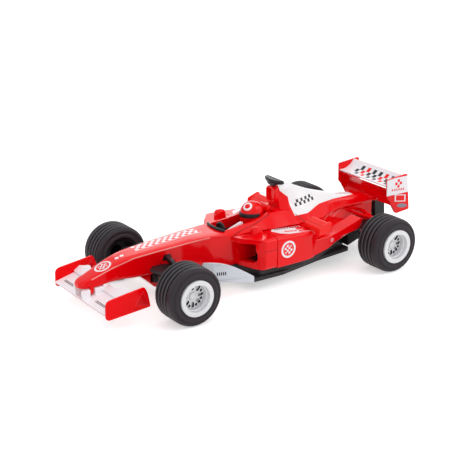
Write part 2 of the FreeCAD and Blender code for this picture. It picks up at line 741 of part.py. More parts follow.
def rear_wing():
    half = size("rear_span") / 2 - size("rear_plate_thick")
    low = size("rear_plane_height")
    side_plate("rear_wing_plane", [
        (rear_x - 10.6, low + 0.6), (rear_x - 13.6, low + 0.5), (rear_x - 16.4, low + 1.8),
        (rear_x - 18.8, low + 4.2), (rear_x - 19.3, low + 4.2), (rear_x - 17.2, low + 1.2),
        (rear_x - 14.2, low - 0.4), (rear_x - 10.8, low - 0.3),
    ], -half, half * 2)
    side_plate("rear_wing_lower", [
        (rear_x - 11.0, low - 0.8), (rear_x - 12.8, low - 1.4), (rear_x - 15.0, low - 4.6),
        (rear_x - 15.2, low - 7.0), (rear_x - 14.4, low - 9.0), (rear_x - 13.6, low - 9.0),
        (rear_x - 14.2, low - 7.0), (rear_x - 14.0, low - 5.0), (rear_x - 12.2, low - 2.2),
    ], -half, half * 2)
    for side, sign in (("left", 1), ("right", -1)):
        start = half if sign > 0 else -half - size("rear_plate_thick")
        side_plate(f"rear_endplate_{side}", [
            (rear_x - 10.2, size("wing_top") - 1.1), (rear_x - 22.0, size("wing_top")),
            (tail_x, low - 12.1), (rear_x - 15.8, low - 12.9), (rear_x - 11.6, low - 6.0),
            (rear_x - 10.4, low - 5.0),
        ], start, size("rear_plate_thick"))
    side_plate("rear_wing_pillar", [
        (rear_x - 18.0, 11.0), (rear_x - 17.0, low - 9.6), (rear_x - 15.5, low - 7.4),
        (rear_x - 15.3, low - 5.0), (rear_x - 22.8, low - 8.0), (rear_x - 23.6, 11.0),
    ], -1.4, 2.8)


def carriers():
    """The black mouldings that carry the axles, with the wishbones of the front one."""
    bore = size("axle_radius") + size("running_gap")
    low = size("arm_height")
    thick = size("arm_thick")
    reach = size("arm_reach")
    body = side_plate("front_axle_carrier", [
        (front_x - 3.7, 9.4), (front_x + 2.2, 9.4), (front_x + 2.2, low + thick),
        (front_x - 3.7, low + thick),
    ], -7.0, 14.0)
    for sign in (1, -1):
        arms = new_sketch(body, "XY_Plane", low)
        polygon(arms, [
            (front_x + 2.2, sign * 6.4), (front_x + 4.4, sign * 7.8), (front_x + 1.9, sign * reach),
            (front_x - 2.8, sign * reach), (front_x - 9.0, sign * 7.8), (front_x - 3.6, sign * 6.6),
        ])
        pad(body, arms, thick)
    hole = new_sketch(body, "XZ_Plane", 8.0)
    circle(hole, (front_x, axle_z), bore)
    pocket(body, hole, 16.0)
    for side, sign in (("left", 1), ("right", -1)):
        upper_arm(f"front_arm_{side}", sign)
    body = side_plate("motor_housing", [
        (rear_x + 7.0, 6.7), (rear_x + 7.0, 13.0), (rear_x - 14.4, 13.0), (rear_x - 14.4, 8.6),
        (rear_x + 1.6, 8.6),
    ], -12.0, 24.0)
    tail = new_sketch(body, "XZ_Plane", -4.0)
    polygon(tail, [
        (rear_x - 14.0, 13.0), (rear_x - 14.0, 8.2), (rear_x - 23.0, 9.2), (rear_x - 23.2, 10.8),
        (rear_x - 17.6, 10.8), (rear_x - 17.6, 13.0),
    ])
    pad(body, tail, 8.0)
    hole = new_sketch(body, "XZ_Plane", 13.0)
    circle(hole, (rear_x, axle_z), bore)
    pocket(body, hole, 26.0)
    for side, sign in (("left", 1), ("right", -1)):
        flat_plate(f"rear_wishbone_{side}", [
            (rear_x - 7.8, sign * 4.6), (rear_x - 4.6, sign * 14.6), (rear_x - 3.0, sign * 14.6),
            (rear_x - 0.6, sign * 5.2), (rear_x - 2.4, sign * 5.0), (rear_x - 3.8, sign * 11.6),
            (rear_x - 5.8, sign * 4.8),
        ], size("deck_height") + 1.2, 0.9)


def upper_arm(label, sign):
    """A bent arm that leaves the slot in the nose and turns down to the lower wishbone."""
    body = new_body(label)
    sketch = new_sketch(body, "YZ_Plane", front_x - 4.6)
    reach = size("arm_reach")
    low = size("arm_height") + size("arm_thick")
    polygon(sketch, [
        (sign * 4.6, 18.2), (sign * 4.6, 19.6), (sign * 12.0, 19.4), (sign * 16.2, 18.0),
        (sign * (reach - 0.8), low), (sign * (reach - 2.6), low), (sign * 15.2, 17.0), (sign * 11.6, 18.0),
    ])
    pad(body, sketch, 1.7)


def barge_boards():
    edge = size("floor_width") / 2
    for side, start in (("left", edge - 0.5), ("right", -edge - 0.5)):
        side_plate(f"barge_board_{side}", [
            (split_x + 10.2, 4.7), (split_x + 10.2, 7.6), (split_x + 15.2, 10.9), (split_x + 20.5, 14.1),
            (split_x + 25.6, 16.2), (split_x + 28.6, 16.6), (split_x + 29.4, 12.0), (split_x + 24.0, 8.4),
            (split_x + 17.2, 6.8),
        ], start, 1.0)


def winglets():
    """A flap with an endplate on the shoulder of each sidepod."""
    reach = size("pod_width") / 2
    base = size("pod_height") - 0.8
    place = split_x - 19.0
    for side, sign in (("left", 1), ("right", -1)):
        inner = size("tub_width") / 2 + 5.2
        start = inner if sign > 0 else -reach - 3.2
        body = side_plate(f"winglet_{side}", [
            (place - 0.2, base), (place - 0.4, base + 1.7), (place - 4.6, base + 3.6),
            (place - 5.6, base + 3.2), (place - 3.2, base),
        ], start, reach + 3.2 - inner)
        plate = new_sketch(body, "XZ_Plane", -(reach + 3.0) if sign > 0 else reach + 3.9)
        polygon(plate, [
            (place + 0.4, base - 0.9), (place + 0.2, base + 2.1), (place - 5.2, base + 4.0),
            (place - 6.2, base + 3.3), (place - 4.6, base - 0.7),
        ])
        pad(body, plate, 0.9, reverse=True)


def mirrors():
    """Domed mirrors on the top of the intakes."""
    base = size("pod_height") + 0.05
    outer = size("tub_width") / 2 + 5.8
    for side, sign in (("left", 1), ("right", -1)):
        low = outer - 3.6 if sign > 0 else -outer
        body = side_plate(f"mirror_{side}", [
            (split_x + 6.8, base), (split_x + 6.6, base + 2.2), (split_x + 5.0, base + 3.6),
            (split_x + 2.8, base + 3.0), (split_x + 1.8, base),
        ], low, 3.6)
        round_edges(body, lambda edge: edge.BoundBox.ZMin > base.value + 1.0, 0.7)


def cockpit():
    deep = size("rim_height") - size("cockpit_depth")
    front = front_x - size("cockpit_front")
    middle = front - 6.2
    back = front_x - size("cockpit_back")
    inner = size("rim_width") / 2 - 0.5 - seat
    top = deep + 0.9
    body = flat_plate("cockpit_floor", [
        (front - 1.6, 2.2), (front - 1.6, -2.2), (middle + 1.6, -inner), (back + seat, -inner),
        (back + seat, inner), (middle + 1.6, inner),
    ], deep, 0.9)
    trim = doc.addObject("Part::Torus", "cockpit_trim")
    trim.Label = "cockpit_trim"
    bind(trim, "Radius1", size("trim_radius"))
    bind(trim, "Radius2", size("trim_thick") / 2)
    trim.Angle3 = TRIM_ANGLE * 2
    trim.Placement = FreeCAD.Placement(V(0, 0, 0), FreeCAD.Rotation(V(0, 0, 1), -TRIM_ANGLE))
    bind(trim, "Placement.Base.x", front - size("trim_radius"))
    bind(trim, "Placement.Base.z", size("rim_height") - size("trim_drop") + 0.02)
    nodes["cockpit_trim"] = trim
    wheel = new_body("steering_wheel")
    sketch = new_sketch(wheel, "YZ_Plane", middle)
    circle(sketch, (0.0, top + 2.7), 2.5)
    pad(wheel, sketch, 0.9)
    column = new_sketch(wheel, "XZ_Plane", -0.8)
    polygon(column, [
        (middle + 0.4, top), (middle + 0.4, top + 3.2), (middle + 3.2, top + 1.6), (middle + 3.2, top),
    ])
    pad(wheel, column, 1.6)
    rest = side_plate("headrest", [
        (back + seat, top), (back + seat, size("helmet_top") - 2.4), (back + 1.4, size("helmet_top") - 2.2),
        (back + 2.3, size("helmet_top") - 3.8), (back + 2.3, top),
    ], -3.8, 7.6)
    round_edges(rest, lambda edge: abs(edge.CenterOfMass.y) > 3.7 and edge.BoundBox.ZMin > 26.0, 0.8)
    helmet_parts(back, top)


def helmet_parts(back, top):
    """The helmet on its collar, with a separate visor band seated on its front."""
    place = back + 2.5 + size("helmet_length") / 2
    height = size("helmet_middle")
    tall = size("helmet_top") - height
    long = size("helmet_length") / 2
    wide = size("helmet_width") / 2

    def ellipsoid(name, grow):
        ball = doc.addObject("Part::Ellipsoid", name)
        bind(ball, "Radius1", tall + grow)
        bind(ball, "Radius2", long + grow)
        bind(ball, "Radius3", wide + grow)
        bind(ball, "Placement.Base.x", place)
        bind(ball, "Placement.Base.z", height)
        return ball

    collar = doc.addObject("Part::Cylinder", "collar")
    bind(collar, "Radius", wide - 1.0)
    bind(collar, "Height", height - top)
    bind(collar, "Placement.Base.x", place)
    bind(collar, "Placement.Base.z", top)
    driver = doc.addObject("Part::Fuse", "driver_helmet")
    driver.Base = ellipsoid("helmet_ball", 0.0)
    driver.Tool = collar
    driver.Label = "driver_helmet"
    nodes["driver_helmet"] = driver
    shell = doc.addObject("Part::Cut", "visor_shell")
    shell.Base = ellipsoid("visor_outer", 0.35)
    shell.Tool = ellipsoid("visor_inner", 0.02)
    band = doc.addObject("Part::Box", "visor_band")
    bind(band, "Length", long * 2)
    bind(band, "Width", wide * 4)
    bind(band, "Height", size("visor_height"))
    bind(band, "Placement.Base.x", place)
    bind(band, "Placement.Base.y", wide * -2)
    bind(band, "Placement.Base.z", height - 0.3)
    visor = doc.addObject("Part::Common", "helmet_visor")
    visor.Base = shell
    visor.Tool = band
    visor.Label = "helmet_visor"
    nodes["helmet_visor"] = visor


def intake():
    """The air intake over the headrest and the black camera pod on top of it."""
    x = front_x - size("airbox_back") - 2.15
    half = size("airbox_width") / 2
    high = size("cover_height")
    body = new_body("air_intake")
    block = new_sketch(body, "YZ_Plane", x)
    polygon(block, both_sides([(half - 1.4, high - 0.2), (half, high - 1.6), (half - 0.2, high - 6.6),
                               (half - 1.0, high - 7.2)]))
    pad(body, block, 2.15)
    mouth = new_sketch(body, "YZ_Plane", x + 2.15)
    polygon(mouth, both_sides([(half - 1.9, high - 1.1), (half - 0.9, high - 2.0), (half - 1.0, high - 6.0),
                               (half - 1.6, high - 6.5)]))
    pocket(body, mouth, 1.3)
    pod = new_body("camera_pod")
    stem = new_sketch(pod, "YZ_Plane", x - 0.9)
    foot = high + 0.2
    polygon(stem, both_sides([(3.4, foot + size("camera_rise") - 1.6), (1.7, foot)]))
    pad(pod, stem, 2.6)
    bar = new_sketch(pod, "XY_Plane", foot + size("camera_rise") - 1.8)
    tip = size("camera_span") / 2
    polygon(bar, [
        (x + 2.4, 0.0), (x + 1.8, 3.0), (x + 0.5, tip), (x - 1.4, tip), (x - 1.0, 2.4), (x - 1.0, -2.4),
        (x - 1.4, -tip), (x + 0.5, -tip), (x + 1.8, -3.0),
    ])
    pad(pod, bar, 1.8)
    round_edges(pod, lambda edge: edge.BoundBox.ZMin > foot.value + size("camera_rise").value - 0.3, 0.4)


front_body()
keel()
rear_body()
floor_tray()
wheel_set("front", front_x, size("front_wheel_inner"))
wheel_set("rear", rear_x, size("rear_wheel_inner"))
front_wing()
rear_wing()
carriers()
barge_boards()
winglets()
mirrors()
cockpit()
intake()
doc.recompute()

problems = [item.Name for item in doc.Objects if "Invalid" in item.State or "Error" in item.State]
for label, node in nodes.items():
    if node.Shape.isNull() or not node.Shape.isValid() or not node.Shape.Solids:
        problems.append(label)
if problems:
    raise RuntimeError("not built: " + ", ".join(problems))

os.makedirs("parts", exist_ok=True)
for label, node in nodes.items():
    node.Shape.exportStep(f"parts/{label}.step")
    print(label, len(node.Shape.Solids), round(node.Shape.Volume, 1))
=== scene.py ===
# %% [markdown]
# A toy open wheel racing car, dressed around its packed CAD model. The model is the fixed frame: it
# says how large each piece is, where it sits and what turns. This file makes the surfaces that are
# seen, their paint and plastic, and a plain studio, and it moves nothing that the model has placed.
# All lengths below are in millimetres: x runs forward, y to the left and z up.

# %% Load the frame
import json
import math
import bmesh
import bpy
import numpy as np
from mathutils import Matrix, Vector


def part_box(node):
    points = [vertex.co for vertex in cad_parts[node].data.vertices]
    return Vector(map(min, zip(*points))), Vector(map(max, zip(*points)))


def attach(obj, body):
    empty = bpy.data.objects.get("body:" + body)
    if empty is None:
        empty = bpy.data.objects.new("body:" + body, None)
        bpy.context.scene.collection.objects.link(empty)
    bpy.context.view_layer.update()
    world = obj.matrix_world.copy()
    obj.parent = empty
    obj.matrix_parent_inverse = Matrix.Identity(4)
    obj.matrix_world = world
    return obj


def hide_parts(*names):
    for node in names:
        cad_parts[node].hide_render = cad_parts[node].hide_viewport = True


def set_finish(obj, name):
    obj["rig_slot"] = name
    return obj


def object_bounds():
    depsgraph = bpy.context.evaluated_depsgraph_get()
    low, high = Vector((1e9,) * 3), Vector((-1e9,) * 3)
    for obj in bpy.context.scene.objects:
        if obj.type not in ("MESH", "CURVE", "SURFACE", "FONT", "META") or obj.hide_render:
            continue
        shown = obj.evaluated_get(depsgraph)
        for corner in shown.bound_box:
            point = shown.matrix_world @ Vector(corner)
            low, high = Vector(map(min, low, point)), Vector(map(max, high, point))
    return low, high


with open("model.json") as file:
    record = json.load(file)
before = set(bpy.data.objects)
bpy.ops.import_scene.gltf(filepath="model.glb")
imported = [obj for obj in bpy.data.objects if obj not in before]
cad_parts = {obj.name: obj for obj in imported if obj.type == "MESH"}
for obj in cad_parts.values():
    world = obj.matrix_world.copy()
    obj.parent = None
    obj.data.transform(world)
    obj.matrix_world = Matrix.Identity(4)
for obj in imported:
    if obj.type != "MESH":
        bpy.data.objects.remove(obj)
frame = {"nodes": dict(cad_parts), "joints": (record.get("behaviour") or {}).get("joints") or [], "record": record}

MM = 0.001
cad_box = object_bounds()
joint_x = {joint["name"]: joint["pos_m"][0] / MM for joint in frame["joints"]}
FX = joint_x["front_axle_roll"]
RX = joint_x["rear_axle_roll"]
NOSE = cad_box[1].x / MM
TAIL = cad_box[0].x / MM
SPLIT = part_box("rear_body")[1].x / MM + 0.4      # where the two body mouldings meet
AXLE_Z = 11.7
print("front axle", round(FX, 2), "rear axle", round(RX, 2), "nose", round(NOSE, 2), "split", round(SPLIT, 2))

# %% [markdown]
# Every surface in this file is a grid of points, worked out as one numpy array. A plate is an outline
# carried across its thickness, a wheel is a profile carried round its axle, and the body is a set of
# sections joined by smooth curves. The same few helpers turn such a grid into faces, so the rest of
# the file can speak about shapes only.

# %% Grids and rounded outlines
def grid(points, wrap=False):
    """Faces of a grid of points with two parameters. Each face joins four neighbours; with wrap, the
    last point of each row joins the first one. Returns the points as a list and the faces as indices."""
    rows, count = points.shape[:2]
    index = np.arange(rows * count).reshape(rows, count)
    if wrap:
        index = np.hstack([index, index[:, :1]])
    faces = np.stack([index[:-1, :-1], index[:-1, 1:], index[1:, 1:], index[1:, :-1]], axis=-1)
    return points.reshape(-1, 3), faces.reshape(-1, 4).tolist()


def closed(points):
    """A closed skin: a grid that wraps round each row, with one flat face over the first and last row."""
    rows, count = points.shape[:2]
    places, faces = grid(points, wrap=True)
    first = list(range(count))
    last = list(range((rows - 1) * count, rows * count))
    return places, faces + [first[::-1], last]


def rounded(corners, reach=0.3, steps=4):
    """Round each corner of closed outlines. Along each corner runs the parabola (1-s)^2 A + 2s(1-s) P
    + s^2 B, where P is the corner and A and B lie on its two sides at the given reach, or at 45 per
    cent of a short side. Works on one outline (n, 2) or on a stack of them (k, n, 2)."""
    corners = np.asarray(corners, float)
    before = np.roll(corners, 1, axis=-2) - corners
    after = np.roll(corners, -1, axis=-2) - corners
    reach = np.broadcast_to(np.asarray(reach, float), corners.shape[-2:-1])[:, None]

    def along(side):
        length = np.linalg.norm(side, axis=-1, keepdims=True)
        return side * np.minimum(reach / np.maximum(length, 1e-9), 0.45)

    start = (corners + along(before))[..., :, None, :]
    end = (corners + along(after))[..., :, None, :]
    s = np.linspace(0, 1, steps)[:, None]
    curve = (1 - s) ** 2 * start + 2 * s * (1 - s) * corners[..., :, None, :] + s ** 2 * end
    return curve.reshape(corners.shape[:-2] + (-1, 2))


print("a rounded square has", len(rounded([(0, 0), (4, 0), (4, 4), (0, 4)])), "points")

# %% [markdown]
# Between two known sections the car's skin should be smooth, but never bulge past them. A plain spline
# overshoots next to a flat stretch, so the slopes are limited here.

# %% Smooth values between known ones
def through(places, values, wanted):
    """Smooth values between known places: a cubic whose slope at each place is the harmonic mean of
    the slopes on both sides, and nought where they differ in sign, so that it never overshoots."""
    places = np.asarray(places, float)
    values = np.asarray(values, float)
    step = np.diff(places)
    shape = (-1,) + (1,) * (values.ndim - 1)
    slope = np.diff(values, axis=0) / step.reshape(shape)
    product = slope[1:] * slope[:-1]
    total = slope[1:] + slope[:-1]
    inner = np.where(product > 0, 2 * product / np.where(total == 0, 1, total), 0)
    tangent = np.concatenate([slope[:1], inner, slope[-1:]])
    k = np.clip(np.searchsorted(places, wanted) - 1, 0, len(step) - 1)
    t = ((wanted - places[k]) / step[k]).reshape(shape)
    width = step[k].reshape(shape)
    return ((2 * t ** 3 - 3 * t ** 2 + 1) * values[k] + (t ** 3 - 2 * t ** 2 + t) * width * tangent[k]
            + (3 * t ** 2 - 2 * t ** 3) * values[k + 1] + (t ** 3 - t ** 2) * width * tangent[k + 1])


print("half way from 0 to 1:", through([0, 1], [0, 1], np.array([0.5])))

# %% [markdown]
# Most pieces of the toy are thin mouldings: endplates, wings, boards and the floor. Some could be cubes
# with a Bevel modifier, but an outline gives each its true shape in one step. Near both faces it
# shrinks a little, which rounds the edges as a mould does.

# %% Plates
def in_plane(outline, level, plane):
    """Outline points in two coordinates and a level, put into the plane xz, xy or yz."""
    a, b = outline[..., 0], outline[..., 1]
    level = np.broadcast_to(level, a.shape)
    order = {"xz": (a, level, b), "xy": (a, b, level), "yz": (level, a, b)}
    return np.stack(order[plane], axis=-1)


def plate(corners, low, high, plane="xz", reach=0.4, edge=0.18):
    """A moulded plate: an outline with rounded corners, carried from low to high across its plane.
    Near both faces the outline shrinks by edge * (1 - sin a) while the level moves by edge * (1 - cos a)."""
    outline = rounded(corners, reach)
    ahead = np.roll(outline, -1, axis=0) - np.roll(outline, 1, axis=0)
    normal = np.stack([ahead[:, 1], -ahead[:, 0]], axis=1)
    normal /= np.maximum(np.linalg.norm(normal, axis=1, keepdims=True), 1e-9)
    after = np.roll(outline, -1, axis=0)
    normal *= np.sign(np.sum(outline[:, 0] * after[:, 1] - outline[:, 1] * after[:, 0]))
    edge = min(edge, (high - low) * 0.45)
    angle = np.linspace(0, math.pi / 2, 4)
    inset = edge * (1 - np.sin(angle))
    level = low + edge * (1 - np.cos(angle))
    inset = np.concatenate([inset, inset[::-1]])
    level = np.concatenate([level, high + low - level[::-1]])
    rings = outline[None] - normal[None] * inset[:, None, None]
    return closed(in_plane(rings, level[:, None], plane))


def shifted(corners, x):
    """An outline moved along its first axis."""
    return [(x + a, b) for a, b in corners]


def mirrored(part):
    """The same skin on the other side of the car."""
    places, faces = part
    return places * (1, -1, 1), [face[::-1] for face in faces]


def joined(*parts):
    """Several skins as one list of points and faces."""
    places, faces, start = [], [], 0
    for points, polygons in parts:
        places.append(points)
        faces += [[i + start for i in polygon] for polygon in polygons]
        start += len(points)
    return np.concatenate(places), faces


print("a plate has", len(plate([(0, 0), (4, 0), (4, 4), (0, 4)], 0, 1)[0]), "points")

# %% [markdown]
# A finished piece is a mesh at the origin with its place in its points. Its normals are made to point
# outwards, its faces are smooth and only real corners stay sharp. Weighted normals keep the large flat
# faces flat next to their small rounded edges, which is what makes moulded plastic look moulded.

# %% From points to a piece
pieces = {}


def put(name, data):
    """An object with its data, in the scene."""
    thing = bpy.data.objects.new(name, data)
    bpy.context.scene.collection.objects.link(thing)
    return thing


def mesh_of(name, part):
    """A mesh from points in millimetres and faces, with every face of each closed skin outwards."""
    places, faces = part
    mesh = bpy.data.meshes.new(name)
    mesh.from_pydata((np.asarray(places) * MM).tolist(), [], faces)
    mesh.validate()
    work = bmesh.new()
    work.from_mesh(mesh)
    bmesh.ops.remove_doubles(work, verts=work.verts, dist=1e-7)
    bmesh.ops.recalc_face_normals(work, faces=work.faces)
    work.to_mesh(mesh)
    work.free()
    mesh.shade_smooth()
    return mesh


def piece(node, part, slot, body="chassis", sharp=38.0, weighted=True):
    """Make the piece that is shown in place of a node of the CAD model, and tie it to its body."""
    mesh = mesh_of(f"shown_{node}", part)
    mesh.set_sharp_from_angle(angle=math.radians(sharp))
    thing = put(mesh.name, mesh)
    if weighted:
        thing.modifiers.new("flat faces", "WEIGHTED_NORMAL").keep_sharp = True
    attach(thing, body)
    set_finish(thing, slot)
    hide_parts(node)
    pieces[node] = thing
    return thing


def pair(node, part, slot, body="chassis", **shading):
    """A left piece and its mirror image."""
    return [piece(f"{node}_{side}", skin, slot, body, **shading)
            for side, skin in (("left", part), ("right", mirrored(part)))]


print("a piece stands in for one of", len(frame["nodes"]), "nodes")

# %% [markdown]
# The nose, the tub and the raised surround of the cockpit are one moulding. Its cross-section has seven
# corners on each side: the rim of the cockpit, the shoulder, the crease and two corners under it, the
# foot of the side and the edge of the underside. It could be modelled by hand as a subdivision cage,
# but a table of sections keeps the measured creases where they are and joins them smoothly.

# %% Sections of the front shell
TUB_FOOT = [(8.8, 10.1), (8.0, 9.25)]


def nose_row(distance, half, crease, under):
    """Distance ahead of the front axle, and (y, z) of rim, shoulder, crease, under crease, side, foot
    and keel, from the half width, the height of the crease and the height of the underside."""
    return (distance, [(half * 0.55, crease + 0.4), (half * 0.84, crease + 0.22), (half, crease),
                       (half - 0.02, crease - 0.35), (half - 0.04, crease - 0.8), (half - 0.1, under + 1.0),
                       (half - 0.8, under)])


def tub_row(distance, rim, shoulder, foot, foot_z):
    """The same seven corners where the shell widens round the cockpit and stands on the floor."""
    side = min(9.1, foot - 0.1)
    corners = [rim, shoulder, (foot, foot_z), (foot - 0.05, foot_z - 0.3), (side, foot_z - 0.55)]
    return (distance, corners + TUB_FOOT)


front_rows = [nose_row(*row) for row in (
    (32.8, 1.6, 13.6, 12.3), (31.9, 2.66, 14.1, 11.9), (30.4, 3.2, 14.75, 11.7), (28.0, 3.55, 15.5, 11.7),
    (24.0, 4.05, 16.9, 12.0), (20.0, 4.5, 18.4, 12.6), (15.0, 4.9, 20.0, 12.8), (10.0, 5.4, 21.0, 12.5),
    (0.0, 6.0, 21.8, 12.1), (-10.0, 6.6, 22.4, 11.7), (-20.0, 6.9, 23.0, 11.1), (-25.0, 7.5, 23.0, 10.6))]
front_rows += [tub_row(*row) for row in (
    (-29.8, (5.3, 23.4), (7.6, 23.1), 8.6, 22.8), (-34.0, (6.1, 24.0), (8.3, 23.3), 9.3, 22.5),
    (-40.0, (5.8, 24.5), (8.5, 23.6), 10.0, 22.7), (-46.0, (5.7, 25.2), (8.1, 24.4), 11.0, 22.9),
    (-50.0, (5.9, 26.2), (7.6, 25.9), 11.5, 22.8), (-54.0, (6.1, 27.5), (7.2, 27.3), 11.9, 22.6),
    (-60.0, (6.3, 27.4), (7.2, 27.0), 12.0, 22.5), (-66.8, (5.6, 26.2), (7.0, 25.4), 12.0, 22.2))]
front_x = np.array([FX + row[0] for row in front_rows])
front_corners = np.array([row[1] for row in front_rows])
front_corners[11, -2:] = TUB_FOOT        # the last row of the nose already stands on the floor
print("front shell:", front_corners.shape[0], "sections of", front_corners.shape[1], "corners a side")

# %% [markdown]
# The cockpit well is part of the same grid. Inside the rim each section goes on with a rounded lip, a
# wall and a floor. Ahead of the cockpit those inner points lie flat on the nose, and at the bowed front
# edge two neighbouring rows share one place, one on the surface and one on the floor: the wall between
# them is then the front wall of the well, and no cutting is needed.

# %% The front shell
WELL_FRONT = FX - 32.0
WELL_BACK = FX - 57.6
SHELL_END = FX - 66.8
WELL_FLOOR = 19.6
WELL_HALF = 5.2
WALL_SHARE = 0.95        # the wall of the well, as a share of the way from the middle to the rim
HOOP_RADIUS = 7.35
HOOP_CENTRE = FX - 28.9 - HOOP_RADIUS
BOW_SHARE = 0.35


def rounded_half(halves, reach, steps=4):
    """Round the corners of open half outlines. Rounding needs a neighbour on both sides, so a point on
    the middle plane is added at each end, and its corner is taken away again."""
    chain = np.concatenate([halves[:, :1] * (0, 1), halves, halves[:, -1:] * (0, 1)], axis=1)
    reach = np.concatenate([[0], np.broadcast_to(reach, halves.shape[1]), [0]])
    return rounded(chain, reach, steps)[:, steps:-steps]


def front_skin():
    """Sections across the car, joined along it. Each row is: half outline from the keel up to the rim,
    then the lip, wall and floor of the well to the middle, and the mirror image of all that. The place
    of a point along the car is that of its row plus a bow near the well's front, a flattened arc:
    0.35 times c + sqrt(r^2 - y^2)."""
    ahead = np.linspace(NOSE, WELL_FRONT, 70)
    behind = np.linspace(WELL_FRONT, WELL_BACK, 46)[1:]
    rest = np.linspace(WELL_BACK, SHELL_END, 16)[1:]
    rows_x = np.concatenate([ahead, [WELL_FRONT] * 3, behind, [WELL_BACK] * 3, rest])
    sink = np.concatenate([np.zeros(len(ahead)), [0.04, 0.5, 1.0], np.ones(len(behind)),
                           [0.5, 0.04, 0.0], np.zeros(len(rest))])[:, None]
    corners = through(front_x[::-1], front_corners[::-1], rows_x)
    curve = rounded_half(corners[:, ::-1], [0.6, 0.5, 0.3, 0.25, 0.22, 0.28, 0.6], 5)
    # inside the rim: lip, wall and floor of the well, as shares of the way to the middle
    rim_y = curve[:, -1, :1]
    rim_z = curve[:, -1, 1:]
    share = np.array([0.98, 0.965, 0.955, WALL_SHARE, WALL_SHARE, WALL_SHARE, 0.94, 0.6, 0.3, 0.0])
    down = np.array([0.0, 0.02, 0.06, 0.14, 0.5, 0.92, 1.0, 1.0, 1.0, 1.0])
    half = np.minimum(rim_y, WELL_HALF / WALL_SHARE)
    inner_y = share * (half * sink + rim_y * (1 - sink))
    inner_z = rim_z - (rim_z - WELL_FLOOR) * down * sink
    y = np.concatenate([curve[..., 0], inner_y], axis=1)
    z = np.concatenate([curve[..., 1], inner_z], axis=1)
    near_middle = np.clip((WELL_HALF + 0.4 - np.abs(y)) / 0.6, 0, 1)
    arc = np.sqrt(np.maximum((HOOP_RADIUS - 0.8) ** 2 - y ** 2, 0)) + HOOP_CENTRE - WELL_FRONT
    # the bow fades out over 9 mm ahead of the well's front and over 5 mm behind it
    far = np.abs(rows_x - WELL_FRONT)[:, None]
    fade = np.clip(1 - far / np.where(rows_x[:, None] >= WELL_FRONT, 9, 5), 0, 1)
    x = rows_x[:, None] + BOW_SHARE * arc * near_middle * fade
    left = np.stack([x, y, z], axis=-1)
    right = left[:, -2::-1] * (1, -1, 1)
    return np.concatenate([left, right], axis=1)


front_grid = front_skin()
print("front skin grid", front_grid.shape)

# %% [markdown]
# The front of each sidepod is an open box: its skin runs forward outside, turns over the lip and comes
# back inside as the air duct. Drawing it as one grid, with the way along the skin as one parameter and
# the way round the mouth as the other, gives an even lip whose edge can be swept in plan.

# %% The front of the sidepods
def dense(corners, reach):
    """A rounded outline with six more points on each straight side: A + t (B - A) from one corner's
    end A to the next corner's start B."""
    arcs = rounded(corners, reach).reshape(len(corners), -1, 2)
    start = arcs[:, -1:]
    end = np.roll(arcs[:, :1], -1, axis=0)
    t = np.linspace(0, 1, 8)[1:-1, None]
    return np.concatenate([arcs, start + t * (end - start)], axis=1).reshape(-1, 2)


def smooth_step(low, high, value):
    """3s^2 - 2s^3, where s runs from 0 at low to 1 at high."""
    s = np.clip((value - low) / (high - low), 0, 1)
    return s * s * (3 - 2 * s)


def intake_edge(y, z):
    """How far forward the mouth reaches: one sweep for the upper lip, one for the lower, blended by
    a smooth step over 2 mm of height."""
    upper = np.interp(y, [8.2, 13.4, 17.6, 20.6, 21.6], [12.5, 10.9, 7.2, 4.9, 3.9])
    lower = np.interp(y, [8.2, 9.4, 16.2, 18.2, 21.6], [9.1, 8.9, 6.9, 5.9, 3.9])
    return lower + (upper - lower) * smooth_step(15.6, 17.6, z) + FX - 45.5


def pod_front():
    """The skin of one pod's front: outside from the panel split to the lip, and inside back again."""
    outside = dense([(8.2, 22.3), (20.5, 22.3), (21.6, 21.5), (21.6, 10.2), (20.6, 9.25), (8.2, 9.25)],
                    [0.1, 0.8, 0.8, 0.7, 0.7, 0.1])
    duct = dense([(9.0, 20.0), (17.8, 20.2), (18.2, 19.7), (18.2, 13.2), (16.6, 11.8), (9.0, 11.4)],
                 [0.1, 0.3, 0.3, 0.8, 0.8, 0.1])
    fold = np.array([0.0, 0.0, 0.0, 0.03, 0.1, 0.9, 0.97, 1.0, 1.0, 1.0])[:, None, None]
    section = outside + (duct - outside) * fold
    behind = np.array([0.0, 2.5, 0.28, 0.08, 0.0, 0.0, 0.08, 0.28, 2.5, 0.0])[:, None]
    x = intake_edge(section[..., 0], section[..., 1]) - behind
    x[0] = SPLIT
    x[-1] = SPLIT + 2.0
    return closed(np.stack([x, section[..., 0], section[..., 1]], axis=-1))


left_pod = pod_front()
post = plate(shifted([(-5.7, 2.35), (-4.2, 2.35), (-4.2, 3.55), (-5.7, 3.55)], NOSE), 9.7, 12.6, "xy",
             reach=0.2, edge=0.2)
front_part = joined(closed(front_grid), left_pod, mirrored(left_pod), post, mirrored(post))
shown_front = piece("front_body", front_part, "red_body", sharp=32)
print("front body faces", len(shown_front.data.polygons))

# %% [markdown]
# Behind the panel split come the sidepods, the deck ahead of the rear wheels, its flip-ups and the
# engine cover with its raised spine. Each is a set of sections again, known at a few places along the
# car and joined by the same smooth curves.

# %% Sections of the rear shell
def spread(known, corners, count):
    """Outlines known at a few places, on an even row of places that also keeps the known ones."""
    known = np.asarray(known, float)
    order = np.argsort(known)
    wanted = np.unique(np.concatenate([np.linspace(known.min(), known.max(), count), known]))
    return wanted, through(known[order], np.asarray(corners, float)[order], wanted)


def sections(known, corners, reach, count, plane="yz"):
    """Closed outlines at a few places, joined by smooth curves."""
    wanted, outlines = spread(known, corners, count)
    return closed(in_plane(rounded(outlines, reach), wanted[:, None], plane))


